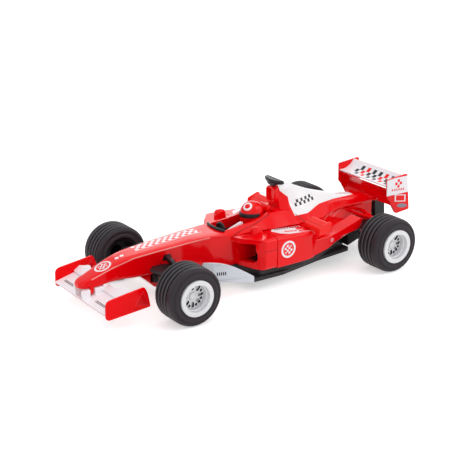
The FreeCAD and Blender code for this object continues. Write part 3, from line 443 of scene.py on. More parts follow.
def even_sections(known, corners, reach, count):
    """The same for a form that is even about the middle: the half outline runs from the top to the
    foot, and its mirror image closes it."""
    wanted, halves = spread(known, corners, count)
    curve = rounded_half(halves, reach)
    both = np.concatenate([curve, curve[:, ::-1] * (-1, 1)], axis=1)
    return closed(in_plane(both, wanted[:, None], "yz"))


COLLAR = FX - 67.2
# place along the car, then (y, z) of spine, edge, flank and foot, and half the width under the foot
cover_rows = [
    (FX - 61.5, (1.3, 36.5), (2.5, 35.2), (3.1, 30.2), (4.4, 26.6), 4.3),
    (FX - 63.5, (1.3, 36.8), (2.5, 35.5), (3.9, 29.6), (6.6, 25.6), 6.4),
    (COLLAR, (1.3, 37.0), (2.5, 35.6), (5.4, 28.4), (11.6, 22.6), 11.2),
    (RX + 27.5, (1.3, 34.8), (2.8, 33.4), (6.0, 27.7), (12.0, 22.3), 11.0),
    (RX + 20.5, (1.3, 31.9), (2.9, 30.6), (5.8, 26.5), (10.4, 22.1), 9.4),
    (RX + 12.0, (1.5, 29.2), (3.0, 28.2), (4.8, 25.7), (6.8, 22.3), 5.9),
    (RX + 4.0, (1.8, 26.9), (3.0, 26.3), (4.2, 24.8), (5.4, 22.4), 4.8),
    (RX - 5.0, (2.2, 25.4), (3.2, 25.0), (4.2, 24.0), (5.0, 22.4), 4.5),
    (RX - 12.6, (2.6, 24.0), (3.6, 23.8), (4.4, 23.2), (4.9, 22.4), 4.4),
]
cover = even_sections(
    [row[0] for row in cover_rows],
    [[spine, edge, flank, foot, (foot[0] - 0.1, foot[1] - 0.7), (half, foot[1] - 1.3), (half, 13.2)]
     for _, spine, edge, flank, foot, half in cover_rows], [0.7, 0.8, 0.9, 0.35, 0.2, 0.25, 0.1], 70)

POD_START = SPLIT - 0.4
pod_rows = [(0.0, 0.0, 0.0), (10.4, 0.6, 0.1), (17.8, 1.2, 0.4), (20.2, 1.8, 0.9)]
pod = sections(
    [POD_START - row[0] for row in pod_rows],
    [[(9.6, 9.25), (9.6, 22.3 - drop * 0.5), (20.1 - inset, 22.3 - drop), (21.2 - inset, 21.8 - drop),
      (21.6 - inset, 20.7 - drop), (21.6 - 2 * inset, 9.25)] for _, drop, inset in pod_rows],
    [0.1, 0.3, 0.5, 0.5, 0.6, 0.5], 24)
deck_rows = [(COLLAR, 20.6, 0.2, 9.6), (FX - 75.6, 20.2, 0.1, 11.3), (FX - 80.0, 20.0, 0.0, 13.4),
             (RX + 12.0, 18.0, 0.0, 14.6), (RX + 4.0, 10.0, -0.4, 14.4)]
deck = sections(
    [row[0] for row in deck_rows],
    [[(4.0, under), (4.0, 16.6 + rise), (outer, 16.6 + rise), (outer - 0.2, 15.7 + rise),
      (outer - 0.6, under)] for _, outer, rise, under in deck_rows],
    [0.1, 0.1, 0.4, 0.4, 0.25], 36)
flip = plate([(FX - 70.0, 15.9), (RX + 20.0, 17.4), (RX + 7.0, 21.5), (RX + 6.3, 20.9), (RX + 7.3, 17.9),
              (RX + 8.8, 16.8), (RX + 14.0, 16.0), (RX + 19.0, 15.6), (FX - 70.0, 14.8)], 13.6, 20.0,
             reach=[0.3, 2.5, 0.3, 0.3, 0.8, 0.8, 1.5, 1.5, 0.3])
tail_lip = plate(shifted([(-13.3, 22.4), (-13.3, 23.5), (-9.4, 24.5), (-9.4, 23.1)], RX), -7.6, 7.6,
                 reach=0.25)
rear_parts = [cover, pod, mirrored(pod), deck, mirrored(deck), flip, mirrored(flip), tail_lip]
print("rear shell:", len(rear_parts), "skins")

# %% [markdown]
# The skins of the rear shell overlap where the real moulding is one skin. Left so, parts of them would
# stay hidden inside the piece, and their joints would have no true edges. The exact Boolean solver
# joins them into a single solid.

# %% The rear shell
def united(node, parts, slot, sharp):
    """Join closed skins into one solid with the exact Boolean solver, and keep the result as a mesh."""
    base = piece(node, parts[0], slot, sharp=sharp, weighted=False)
    tools = []
    for number, part in enumerate(parts[1:]):
        name = f"{base.name}_tool_{number}"
        tools.append(put(name, mesh_of(name, part)))
        step = base.modifiers.new(f"boolean {number}", "BOOLEAN")
        step.operation = "UNION"
        step.solver = "EXACT"
        step.object = tools[-1]
    bpy.context.view_layer.update()
    seen = base.evaluated_get(bpy.context.evaluated_depsgraph_get())
    mesh = bpy.data.meshes.new_from_object(seen)
    base.modifiers.clear()
    base.data = mesh
    mesh.shade_smooth()
    mesh.set_sharp_from_angle(angle=math.radians(sharp))
    base.modifiers.new("flat faces", "WEIGHTED_NORMAL").keep_sharp = True
    for tool in tools:
        bpy.data.objects.remove(tool)
    return base


shown_rear = united("rear_body", rear_parts, "red_body", 32.0)
print("rear body faces", len(shown_rear.data.polygons))

# %% [markdown]
# The tyres are soft vinyl with four grooves round the tread and broad rounded shoulders. Turning a
# profile is the natural way to make them: the grooves are part of the profile.

# %% Tyres
WHEELS = (("front", FX, 21.6), ("rear", RX, 22.3))      # body, axle, distance of the inner side
TYRE_RADIUS = 11.7
TYRE_WIDTH = 13.0
FIRST_GROOVE = 2.5       # distance of the first groove's middle from the inner side
GROOVE_PITCH = 2.1
GROOVE_DEPTH = 0.8


def round_axle(level, radius, x, turn):
    """Points round an axle at x: (x + r cos t, level, axle height + r sin t)."""
    return np.stack([x + radius * np.cos(turn), level + 0 * turn, AXLE_Z + radius * np.sin(turn)], axis=-1)


def tyre(inner, x):
    """A closed profile (distance from the middle of the car, radius), carried round the axle."""
    top = TYRE_RADIUS
    outer = inner + TYRE_WIDTH
    points = [(inner + 0.5, 7.35), (inner, 7.7), (inner, 8.6), (inner + 0.5, 9.0), (inner + 0.5, 9.7),
              (inner + 0.15, 10.0), (inner + 0.4, 10.8), (inner + 1.3, top - 0.2)]
    reach = [0.1, 0.2, 0.3, 0.2, 0.2, 0.3, 0.4, 0.6]
    for number in range(4):
        middle = inner + FIRST_GROOVE + number * GROOVE_PITCH
        points += [(middle - 0.54, top), (middle - 0.3, top - GROOVE_DEPTH),
                   (middle + 0.3, top - GROOVE_DEPTH), (middle + 0.54, top)]
        reach += [0.36, 0.12, 0.12, 0.36]
    points += [(outer - 1.9, top - 0.02), (outer - 0.7, top - 0.5), (outer - 0.3, top - 1.2),
               (outer - 0.75, top - 1.75), (outer - 0.1, top - 2.2), (outer + 0.02, top - 3.0),
               (outer - 0.25, 8.2), (outer - 0.3, 7.3)]
    reach += [0.9, 0.5, 0.3, 0.3, 0.35, 0.4, 0.4, 0.2]
    profile = rounded(points, reach)[:, None]
    skin = round_axle(profile[..., 0], profile[..., 1], x, np.linspace(0, 2 * math.pi, 144, endpoint=False))
    return grid(np.concatenate([skin, skin[:1]]), wrap=True)


for prefix, x, inner in WHEELS:
    pair(f"{prefix}_tyre", tyre(inner, x), "tyre_rubber", f"{prefix}_wheels", sharp=50, weighted=False)
print("tyres of", 2 * TYRE_RADIUS, "by", TYRE_WIDTH, "mm")

# %% [markdown]
# The rims are silver-painted dishes: a wide lip, a stepped wall, a disc with eight slots and eight
# small holes, and a ringed hub cap. The profile is turned like the tyre's, and then the disc is
# pressed in by a depth that depends on radius and angle, which cuts the slots and holes.

# %% Rims
DISC_DEPTH = 3.9         # how far the disc lies behind the lip
DISC = (1.72, 4.68)      # its radii
SLOTS = 8
SLOT_AT = 3.55           # distance of a slot's middle from the axle
SLOT_END = 0.54          # radius of its round ends, which is also half the length between them
SLOT_DEPTH = 1.3
HOLE_AT = 4.05
HOLE_RADIUS = 0.5


def wheel_rim(inner, x):
    """Points of a rim, and how far each is pressed in as a share of the depth of the slots."""
    face = inner + 13.5
    disc = face - DISC_DEPTH
    lip = rounded([(face - 5.0, 7.2), (face - 0.55, 7.2), (face - 0.2, 7.25), (face, 7.05), (face, 5.4),
                   (face - 1.8, 5.25), (face - 1.95, 4.95), (disc + 0.3, 4.82), (disc + 0.02, 4.74)],
                  [0.25, 0.25, 0.15, 0.15, 0.2, 0.12, 0.15, 0.1, 0.1], 5)[4:-3]
    flat = np.stack([np.full(48, disc), np.linspace(4.7, 1.7, 48)], axis=1)
    cap = rounded([(disc, 1.6), (disc + 0.6, 1.5), (disc + 0.6, 1.15), (disc + 0.35, 1.05),
                   (disc + 0.35, 0.35), (disc + 0.35, 0.02)], [0.1, 0.15, 0.12, 0.12, 0.1, 0.0])[3:-3]
    profile = np.concatenate([lip, flat, cap])[:, None]
    turn = np.linspace(0, 2 * math.pi, 288, endpoint=False)
    radius = profile[..., 1]
    step = 2 * math.pi / SLOTS
    # distance to a slot with round ends, then to a round hole half way between two slots
    near = (turn + step / 2) % step - step / 2
    past_end = np.maximum(np.abs(radius * np.cos(near) - SLOT_AT) - SLOT_END, 0)
    slot = np.hypot(past_end, radius * np.sin(near)) - SLOT_END
    between = turn % step - step / 2
    hole = np.hypot(radius * np.cos(between) - HOLE_AT, radius * np.sin(between)) - HOLE_RADIUS
    on_disc = (radius > DISC[0]) & (radius < DISC[1])
    recess = smooth_step(0.07, -0.07, np.minimum(slot, hole)) * on_disc
    return round_axle(profile[..., 0] - SLOT_DEPTH * recess, radius, x, turn), recess


for prefix, x, inner in WHEELS:
    points, recess = wheel_rim(inner, x)
    both = pair(f"{prefix}_rim", closed(points), "rim_silver", f"{prefix}_wheels", sharp=55, weighted=False)
    for rim in both:
        depth = rim.data.attributes.new("recess", "FLOAT", "POINT")
        depth.data.foreach_set("value", recess.ravel().astype(np.float32))
        print(rim.name, len(rim.data.vertices), "points")

# %% [markdown]
# The front wing is a white plane with a swept flap on each side, red endplates and two white pylons of
# two blocks each. Thin mouldings like these are outlines carried across, with every edge slightly
# rounded.

# %% Front wing
piece("front_wing_plane", plate(shifted([
    (-0.6, 7.4), (-0.9, 7.95), (-2.4, 8.35), (-7.0, 9.5), (-10.4, 10.3), (-10.4, 9.2), (-6.0, 7.9),
    (-2.0, 6.9),
], NOSE), -20.0, 20.0, reach=[0.3, 0.4, 1.2, 1.5, 0.3, 0.3, 1.5, 0.9]), "white_plastic")
flap_edge = {4.0: -12.0, 8.0: -12.0, 11.0: -12.7, 14.8: -13.8, 17.5: -12.8, 20.0: -12.0}
pair("front_wing_flap", sections(
    list(flap_edge),
    [shifted([(-9.0, 10.45), (back, 10.5 - 0.68 * (back + 9.0)), (back - 0.1, 9.9 - 0.635 * (back + 10.0)),
              (-10.0, 10.3)], NOSE) for back in flap_edge.values()],
    [0.4, 0.25, 0.25, 0.3], 40, "xz"), "white_plastic")
pair("front_endplate", plate(shifted([
    (-1.2, 6.4), (-1.3, 12.0), (-2.7, 13.2), (-17.8, 15.2), (-18.4, 14.6), (-19.4, 12.4), (-20.5, 6.8),
    (-2.7, 5.3), (-1.6, 5.6),
], NOSE), 20.0, 21.0, reach=[0.5, 1.2, 1.2, 0.5, 0.6, 0.8, 0.6, 0.8, 0.4]), "red_body")
pylon_blocks = [plate(shifted(block, NOSE), 2.6, 4.1, reach=0.25, edge=0.15) for block in (
    [(-3.9, 8.2), (-0.9, 7.5), (-0.5, 11.2), (-1.0, 11.7), (-3.9, 11.7)],
    [(-10.2, 9.8), (-6.0, 8.8), (-6.0, 11.8), (-10.2, 12.0)])]
pair("front_pylon", joined(*pylon_blocks), "white_plastic")
piece("front_keel", plate(shifted([
    (-2.0, 9.25), (-2.0, 6.9), (0.9, 6.7), (3.4, 9.2), (6.8, 12.2), (2.6, 12.2), (2.6, 9.25),
], FX), -5.2, 5.2, reach=[0.2, 0.4, 0.6, 0.8, 0.2, 0.1, 0.1]), "red_body")
print("pieces so far:", len(pieces))

# %% [markdown]
# The rear wing has a curled upper plane, a second plane behind the cover and tall red endplates that
# reach back past everything else. A black pillar carries it.

# %% Rear wing
WING_HALF = 15.75
piece("rear_wing_plane", plate(shifted([
    (-10.5, 31.5), (-13.6, 31.5), (-16.4, 32.8), (-18.8, 35.2), (-19.4, 35.2), (-17.2, 32.2), (-14.2, 30.6),
    (-10.8, 30.7),
], RX), -WING_HALF, WING_HALF, reach=[0.35, 1.4, 1.4, 0.25, 0.25, 1.4, 1.4, 0.35]), "white_plastic")
piece("rear_wing_lower", plate(shifted([
    (-11.0, 30.2), (-12.8, 29.6), (-15.0, 26.4), (-15.2, 24.0), (-14.4, 22.0), (-13.6, 22.0), (-14.2, 24.0),
    (-14.0, 26.0), (-12.2, 28.8),
], RX), -WING_HALF, WING_HALF, reach=[0.3, 1.2, 1.6, 1.4, 0.3, 0.3, 1.4, 1.6, 1.0]), "red_body")
pair("rear_endplate", plate([
    (RX - 10.2, 34.4), (RX - 22.0, 35.5), (TAIL, 18.9), (RX - 15.8, 18.1), (RX - 11.6, 25.0),
    (RX - 10.4, 26.0),
], 15.7, 16.6, reach=[0.7, 0.9, 0.7, 1.2, 1.5, 0.9]), "red_body")
piece("rear_wing_pillar", plate(shifted([
    (-18.0, 11.0), (-17.0, 21.4), (-15.5, 23.6), (-15.3, 26.0), (-22.8, 23.0), (-23.6, 11.0),
], RX), -1.4, 1.4, reach=0.6), "black_plastic")
print("pieces so far:", len(pieces))

# %% [markdown]
# Under the body lies the black floor, with a thicker step that follows the pods. The suspension is
# moulded in the same black, apart from the red wishbones behind the rear wheels. The barge boards bend
# inwards towards the front axle.

# %% Floor and suspension
def both_ways(left):
    """A closed outline from its left half, listed from front to back."""
    return left + [(a, -b) for a, b in reversed(left)]


tray = plate(both_ways([(FX - 8.0, 3.2), (SPLIT + 12.0, 5.0), (SPLIT + 10.0, 19.5), (SPLIT - 5.0, 19.5),
                        (RX + 26.0, 15.1), (RX + 7.2, 13.0)]), 4.6, 6.4, "xy", reach=0.8, edge=0.3)
tray_step = plate(both_ways([(FX - 14.0, 2.6), (SPLIT + 13.0, 6.0), (SPLIT + 6.0, 18.6), (SPLIT - 16.0, 18.6),
                             (RX + 26.0, 15.4), (RX + 7.4, 9.4)]), 6.2, 9.3, "xy", reach=1.2, edge=0.25)
rise_rows = [(FX - 70.0, 16.2, 9.2), (FX - 75.6, 15.2, 10.1), (FX - 80.0, 13.6, 12.3),
             (FX - 81.6, 13.1, 12.9), (RX + 7.4, 9.0, 12.9)]
tray_rise = even_sections([row[0] for row in rise_rows],
                          [[(half - 0.3, top), (half, top - 0.3), (half, 9.0)] for _, half, top in rise_rows],
                          [0.2, 0.2, 0.05], 24)
piece("floor_tray", joined(tray, tray_step, tray_rise), "black_plastic")
ARM_ROOT = 4.4
arm = plate([(ARM_ROOT, 18.2), (ARM_ROOT, 19.6), (12.0, 19.4), (16.2, 18.0), (18.8, 15.9), (16.8, 15.9),
             (15.2, 17.0), (11.6, 18.0)], FX - 5.2, FX - 3.5, "yz",
            reach=[0.2, 0.2, 1.6, 1.6, 0.3, 0.3, 1.0, 1.4], edge=0.3)
# the arm is swept forward by 0.13 mm for each millimetre away from its root
arm[0][:, 0] += 0.13 * (arm[0][:, 1] - ARM_ROOT)
pair("front_arm", arm, "black_plastic")
pair("rear_wishbone", plate(shifted([
    (-7.8, 4.6), (-4.6, 14.6), (-3.0, 14.6), (-0.6, 5.2), (-2.4, 5.0), (-3.8, 11.6), (-5.8, 4.8),
], RX), 17.8, 18.7, "xy", reach=0.5, edge=0.25), "red_body")
board = plate(shifted([
    (10.2, 4.7), (10.2, 7.6), (15.2, 10.9), (20.5, 14.1), (25.6, 16.4), (30.7, 17.7), (34.8, 18.3),
    (35.8, 12.4), (26.9, 8.9), (17.2, 6.8),
], SPLIT), 19.0, 20.0, reach=[0.4, 0.5, 2.0, 2.2, 2.2, 2.0, 0.4, 0.5, 3.0, 3.0])
# ahead of x = 24 a board leaves its plane by a parabola, inwards, back and down
bend = 0.0585 * np.maximum(board[0][:, 0] - 24.0, 0) ** 2
board[0][:] -= bend[:, None] * np.array([0.69, 1.0, 0.4266])
pair("barge_board", board, "white_plastic")
winglet = joined(
    plate(shifted([(-0.2, 21.5), (-0.4, 23.2), (-4.6, 25.1), (-5.6, 24.7), (-3.2, 21.5)], SPLIT - 19.0),
          14.4, 24.8, reach=0.35),
    plate(shifted([(0.4, 20.6), (0.2, 23.6), (-5.2, 25.5), (-6.2, 24.8), (-4.6, 20.8)], SPLIT - 19.0),
          24.6, 25.5, reach=0.45))
pair("winglet", winglet, "red_body")
print("pieces so far:", len(pieces))

# %% [markdown]
# Round forms are balls whose roundness is chosen: with an exponent below one the ball swells towards a
# box with soft corners, which suits mirrors and knobs. Hoops are bars carried along a path.

# %% Mirrors and cockpit
def ball(centre, radii, squareness=(1.0, 1.0), rows=24, count=40):
    """A superellipsoid: cos and sin of both angles are raised to the squareness with their sign kept."""
    def power(value, exponent):
        return np.sign(value) * np.abs(value) ** exponent

    up = np.linspace(-math.pi / 2 + 0.02, math.pi / 2 - 0.02, rows)[:, None]
    turn = np.linspace(0, 2 * math.pi, count, endpoint=False)[None]
    ring = power(np.cos(up), squareness[1])
    x = centre[0] + radii[0] * ring * power(np.cos(turn), squareness[0])
    y = centre[1] + radii[1] * ring * power(np.sin(turn), squareness[0])
    z = centre[2] + radii[2] * power(np.sin(up), squareness[1]) + 0 * turn
    return closed(np.stack([x, y, z], axis=-1))


def rod(path, radius, count=20):
    """A round bar along a path: at each point a circle in the plane of the path's own normals, whose
    radius may change along it."""
    ahead = np.gradient(path, axis=0)
    ahead /= np.linalg.norm(ahead, axis=1, keepdims=True)
    side = np.cross(ahead, np.array([0.0, 0.0, 1.0]) if abs(ahead[0, 2]) < 0.9 else np.array([1.0, 0.0, 0.0]))
    side /= np.linalg.norm(side, axis=1, keepdims=True)
    up = np.cross(side, ahead)
    turn = np.linspace(0, 2 * math.pi, count, endpoint=False)[None, :, None]
    radius = np.broadcast_to(radius, len(path))[:, None, None]
    return closed(path[:, None] + radius * (np.cos(turn) * side[:, None] + np.sin(turn) * up[:, None]))


mirror = ball((SPLIT + 4.4, 13.2, 22.8), (2.5, 1.9, 3.1), (0.7, 0.6))
mirror[0][:, 2] = np.maximum(mirror[0][:, 2], 22.2)
pair("mirror", mirror, "red_body")

SEAT_FRONT = FX - 28.4
seat_edge = plate([(SEAT_FRONT - 5.6, 22.0), (SEAT_FRONT - 5.6, 23.0), (WELL_BACK + 16.2, 25.6),
                   (WELL_BACK + 15.2, 25.1), (WELL_BACK + 15.2, 22.6)], 3.6, 4.4, reach=0.2)
seat_floor = plate(both_ways([(SEAT_FRONT - 1.6, 2.2), (SEAT_FRONT - 4.6, 5.0), (WELL_BACK + 0.2, 5.0)]),
                   19.4, 20.5, "xy", reach=0.6)
piece("cockpit_floor", joined(seat_floor, seat_edge), "white_plastic")

bend = np.radians(np.linspace(-57.5, 57.5, 48))
bow = BOW_SHARE * HOOP_RADIUS * (np.cos(bend) - np.cos(bend[0]))
hoop_path = np.stack([WELL_FRONT + bow, HOOP_RADIUS * np.sin(bend), np.full(48, 23.92)], axis=1)
from_end = np.clip(np.minimum(np.arange(48), np.arange(48)[::-1]) / 4, 0, 1)
hoop = rod(hoop_path, 0.6 * np.sqrt(np.clip(1 - (1 - from_end) ** 2, 0.02, 1)))
piece("cockpit_trim", hoop, "black_plastic", weighted=False)

turn = np.linspace(0, 2 * math.pi, 40)
wheel_path = np.stack([SEAT_FRONT - 5.8 + 0 * turn, 2.45 * np.cos(turn), 22.9 + 2.15 * np.sin(turn)], axis=1)
wheel_bar = plate([(-2.2, 22.3), (-2.2, 23.5), (2.2, 23.5), (2.2, 22.3)], SEAT_FRONT - 6.1, SEAT_FRONT - 5.5,
                  "yz", reach=0.2)
wheel_hub = ball((SEAT_FRONT - 6.0, 0.0, 22.9), (0.35, 2.3, 2.0), rows=12, count=32)
column = plate(shifted([(-5.8, 20.4), (-5.8, 23.2), (-3.0, 22.0), (-3.0, 20.4)], SEAT_FRONT), -0.6, 0.6,
               reach=0.3)
piece("steering_wheel", joined(rod(wheel_path, 0.55, 14), wheel_bar, wheel_hub, column), "black_plastic")
piece("headrest", plate(shifted([(0.2, 20.3), (0.2, 29.3), (1.4, 29.5), (2.3, 27.9), (2.3, 20.3)], WELL_BACK),
                        -3.8, 3.8, reach=[0.1, 0.5, 0.6, 0.6, 0.1], edge=0.6), "red_body")
print("pieces so far:", len(pieces))

# %% [markdown]
# The helmet is an oval whose size follows a table of heights, with the visor as a band lifted a little
# off the same surface. As on the toy it is a plain red shell.

# %% Driver's helmet
HELMET_X = WELL_BACK + 7.7
HELMET_HALF = (5.2, 4.5)        # half the length and half the width
VISOR = (25.7, 27.5)            # foot and top of the visor
helmet_z = [20.3, 21.4, 23.0, 25.0, 26.8, 28.4, 29.9, 31.0, 31.5, 31.7]
helmet_size = [0.74, 0.8, 0.93, 0.99, 1.0, 0.95, 0.8, 0.54, 0.29, 0.01]


def helmet_point(turn, z, grow=0.0):
    """The helmet's surface: an oval whose size follows the height, with a chin pushed forward in the
    direction cos(turn) = 1. It can be lifted outwards by a given distance."""
    turn, z = np.broadcast_arrays(turn, z)
    share = through(helmet_z, helmet_size, z.ravel()).reshape(z.shape)
    chin = 0.5 * np.exp(-((z - 23.2) / 1.5) ** 2) * np.clip(np.cos(turn), 0, 1) ** 2
    x = HELMET_X + (HELMET_HALF[0] * share + chin + grow) * np.cos(turn)
    return np.stack([x, (HELMET_HALF[1] * share + grow) * np.sin(turn), z], axis=-1)


heights = np.concatenate([np.linspace(20.3, 29.9, 26), 31.7 - 1.8 * np.linspace(0.95, 0.0, 14) ** 2])
around = np.linspace(0, 2 * math.pi, 56, endpoint=False)
piece("driver_helmet", closed(helmet_point(around[None], heights[:, None])), "red_body", weighted=False)
sweep = np.radians(np.linspace(-98, 98, 44))[:, None]
band = rounded([(VISOR[0], -0.25), (VISOR[0], 0.3), (VISOR[1], 0.3), (VISOR[1], -0.25)], 0.22)[None]
fall = 0.55 * np.clip((np.abs(np.degrees(sweep)) - 60) / 38, 0, 1)        # the band narrows to its ends
visor = helmet_point(sweep, np.clip(band[..., 0], VISOR[0] + fall, VISOR[1] - 0.2 * fall), band[..., 1])
piece("helmet_visor", closed(visor), "black_plastic", weighted=False)
print("helmet faces", len(pieces["driver_helmet"].data.polygons))

# %% [markdown]
# Over the headrest sits the air intake, a short box whose skin turns over its lip into a shallow mouth,
# and on it the black camera pod with its two stubby arms.

# %% Air intake and camera pod
INTAKE = FX - 61.45
outside = dense([(-1.7, 36.6), (1.7, 36.6), (3.1, 35.2), (2.9, 30.2), (2.1, 29.6), (-2.1, 29.6), (-2.9, 30.2),
                 (-3.1, 35.2)], 0.6)
mouth = dense([(-1.2, 35.7), (1.2, 35.7), (2.2, 34.8), (2.1, 30.8), (1.5, 30.3), (-1.5, 30.3), (-2.1, 30.8),
               (-2.2, 34.8)], 0.5)
fold = np.array([0.0, 0.0, 0.05, 0.25, 0.75, 0.95, 1.0, 1.0])[:, None, None]
mouth_x = INTAKE + np.array([0.0, 1.75, 2.05, 2.15, 2.15, 2.05, 1.75, 0.85])[:, None]
piece("air_intake", closed(in_plane(outside + (mouth - outside) * fold, mouth_x, "yz")), "red_body")
stem = plate([(3.8, 38.8), (1.8, 36.9), (-1.8, 36.9), (-3.8, 38.8)], INTAKE - 0.6, INTAKE + 2.0, "yz",
             reach=0.5, edge=0.4)
bar = plate(both_ways(shifted([(2.7, 0.4), (2.2, 3.0), (0.9, 5.8), (-1.2, 5.8), (-0.6, 2.4)], INTAKE)),
            38.1, 39.8, "xy", reach=0.8, edge=0.75)
piece("camera_pod", joined(stem, bar), "black_plastic")
print("pieces made:", len(pieces))

# %% [markdown]
# Paint and print are shaders. A small class lets a shader value take part in plain arithmetic, so that
# a ring, a bar or a chequered field can be written as a formula of the place on the car, in
# millimetres. An image texture would be the usual way to carry such artwork; formulas stay sharp at
# any size and need no file.

# %% Arithmetic on shader values
def feed(tree, value, socket):
    """Link an output or a field to an input. A plain value is set instead, and a colour is opaque."""
    value = getattr(value, "socket", value)
    if isinstance(value, bpy.types.NodeSocket):
        tree.links.new(value, socket)
    else:
        socket.default_value = (*value, 1.0) if isinstance(value, tuple) else value


def add(tree, kind, inputs=(), output=0, **settings):
    """Add a shader node with the given settings and inputs, and return one of its outputs."""
    node = tree.nodes.new(f"ShaderNode{kind}")
    for name, value in settings.items():
        setattr(node, name, value)
    for name, value in dict(inputs).items():
        feed(tree, value, node.inputs[name])
    return node.outputs[output]


class Field:
    """A value in a node tree. Each sum, product or comparison adds one Math node."""

    def __init__(self, tree, socket):
        self.tree = tree
        self.socket = socket

    def math(self, operation, *others, clamp=False):
        inputs = enumerate((self,) + others)
        return Field(self.tree, add(self.tree, "Math", inputs, operation=operation, use_clamp=clamp))

    def __add__(self, other):
        return self.math("ADD", other)

    def __sub__(self, other):
        return self.math("SUBTRACT", other)

    def __mul__(self, other):
        return self.math("MULTIPLY", other)

    def __abs__(self):
        return self.math("ABSOLUTE")

    def over(self, limit, soft=0.1):
        """1 where the value is over the limit, 0 where it is under, with a ramp of the given width:
        (value - limit) / width + 1/2, held between 0 and 1."""
        return (self - limit).math("MULTIPLY_ADD", 1 / soft, 0.5, clamp=True)

    def under(self, limit, soft=0.1):
        """1 where the value is under the limit."""
        return (self - limit).math("MULTIPLY_ADD", -1 / soft, 0.5, clamp=True)

    def within(self, low, high, soft=0.1):
        """1 between two limits."""
        return self.over(low, soft) * self.under(high, soft)


print("a field adds, subtracts, multiplies and compares:", [n for n in vars(Field) if n[0] != "_"])

# %% [markdown]
# A printed shape is a mask, 1 inside and 0 outside. A narrow ramp between the two keeps its edge from
# flickering. Most shapes below are a distance, compared with a limit.

# %% Printed shapes
def reach_from(u, v, centre):
    """Distance from a centre: sqrt((u - a)^2 + (v - b)^2)."""
    a = u - centre[0]
    b = v - centre[1]
    return (a * a + b * b).math("SQRT")


def chequer(u, v, size, origin):
    """A chequered field: 1 where floor((u - a) / s) + floor((v - b) / s) is odd."""
    total = ((u - origin[0]) * (1 / size)).math("FLOOR") + ((v - origin[1]) * (1 / size)).math("FLOOR")
    return (total * 0.5).math("FRACT").math("GREATER_THAN", 0.25)


def strokes(u, pitch):
    """Short strokes: 1 in the first three fifths of every pitch."""
    return (u * (1 / pitch)).math("FRACT").math("LESS_THAN", 0.6)


def inside(u, v, corners):
    """1 inside a convex outline listed anticlockwise: the least distance to its sides is above nought."""
    least = None
    for (a, b), (c, d) in zip(corners, corners[1:] + corners[:1]):
        length = math.hypot(c - a, d - b)
        side = (v - b) * ((c - a) / length) - (u - a) * ((d - b) / length)
        least = side if least is None else least.math("MINIMUM", side)
    return least.over(0.0, 0.12)


def line_between(u, v, start, end, half):
    """1 near a straight line from start to end."""
    du, dv = end[0] - start[0], end[1] - start[1]
    length = math.hypot(du, dv)
    along = ((u - start[0]) * du + (v - start[1]) * dv) * (1 / length)
    off = ((v - start[1]) * du - (u - start[0]) * dv) * (1 / length)
    return along.within(0.0, length) * abs(off).under(half, 0.08)


print("shapes: rings, chequers, strokes, outlines and lines")

# %% [markdown]
# One recipe makes every finish. A colour drifts slightly over the surface, print is laid over it, and
# a fine bump gives gloss paint its faint unevenness, rubber its grain and silver paint its flakes.
# One flat colour would be simpler, but large faces then look computed.

# %% The recipe
def blend(tree, factor, first, second):
    """A colour that goes from first to second as the factor goes from 0 to 1."""
    return add(tree, "Mix", {0: factor, 6: first, 7: second}, output=2, data_type="RGBA")


def finish(name, colour, rough, marks=None, metal=0.0, shine=0.22, drift=0.06, grain=(900.0, 0.04)):
    """A Principled material on Object coordinates. Its marks are a function of x, y and z in
    millimetres that gives pairs of a mask and a colour, each laid over the ones before. The grain is
    the scale and the strength of the bump."""
    material = bpy.data.materials.new(name)
    material.use_nodes = True
    tree = material.node_tree
    shader = tree.nodes["Principled BSDF"]
    place = add(tree, "TexCoord", output="Object")
    in_mm = add(tree, "VectorMath", {0: place, "Scale": 1 / MM}, operation="SCALE")
    split = add(tree, "SeparateXYZ", {0: in_mm}).node

    def noise(size, detail):
        return Field(tree, add(tree, "TexNoise", {"Vector": place, "Scale": size, "Detail": detail}))

    cloud = noise(55.0, 3.0)
    darker = tuple(c * (1 - drift) for c in colour)
    lighter = tuple(min(c * (1 + drift), 1.0) for c in colour)
    result = blend(tree, cloud, darker, lighter)
    if marks:
        for mask, tone in marks(*(Field(tree, socket) for socket in split.outputs)):
            result = blend(tree, mask, result, tone)
    roughness = cloud.math("MULTIPLY_ADD", 0.05, rough - 0.025)
    bump = add(tree, "Bump", {"Strength": grain[1], "Distance": 0.0004, "Height": noise(grain[0], 2.0)})
    for socket, value in (("Base Color", result), ("Metallic", metal), ("Specular IOR Level", shine),
                          ("Roughness", roughness), ("Normal", bump)):
        feed(tree, value, shader.inputs[socket])
    return material


RED = (0.87, 0.0, 0.003)
SHADE = (0.40, 0.0, 0.002)
DEEP = (0.10, 0.0, 0.002)
PINK = (0.85, 0.30, 0.34)
WHITE = (0.88, 0.855, 0.89)
# the colour below is the same white plastic as WHITE, painted lighter: painted light for the front wing and the
# other white plastic pieces
LIT_WHITE = (0.95, 0.925, 0.965)
BLACK = (0.012, 0.011, 0.013)
INK = (0.03, 0.028, 0.035)
print("finishes are mixed from", len((RED, SHADE, DEEP, PINK, WHITE, LIT_WHITE, BLACK, INK)), "colours")

# %% [markdown]
# The print is generic racing print: chequered fields, rows of plain strokes, and rings round chequered
# discs. It fills the places that are printed on the toy, in its colours. The nose has a long chequered
# field. Its moulded edge gets a painted highlight, a pale line, and its slots, ducts and grooves get painted
# shade.

# %% Print and painted light on the nose
def roundel(u, v, centre, disc, inner, outer, size):
    """A ring between two radii, and a chequered disc within it: two masks."""
    away = reach_from(u, v, centre)
    yield away.within(inner, outer)
    yield chequer(u, v, size, centre) * away.under(disc)


# the moulded edge between the top and the sides of the nose: distance ahead of the axle, side, height
NOSE_EDGE = [(28.0, 3.5, 15.45), (20.0, 4.45, 18.35), (10.0, 5.35, 20.95), (0.0, 5.95, 21.75),
             (-12.0, 6.6, 22.5), (-24.0, 7.3, 23.0)]
NOSE_ROUNDEL = (66.6, 0.0)


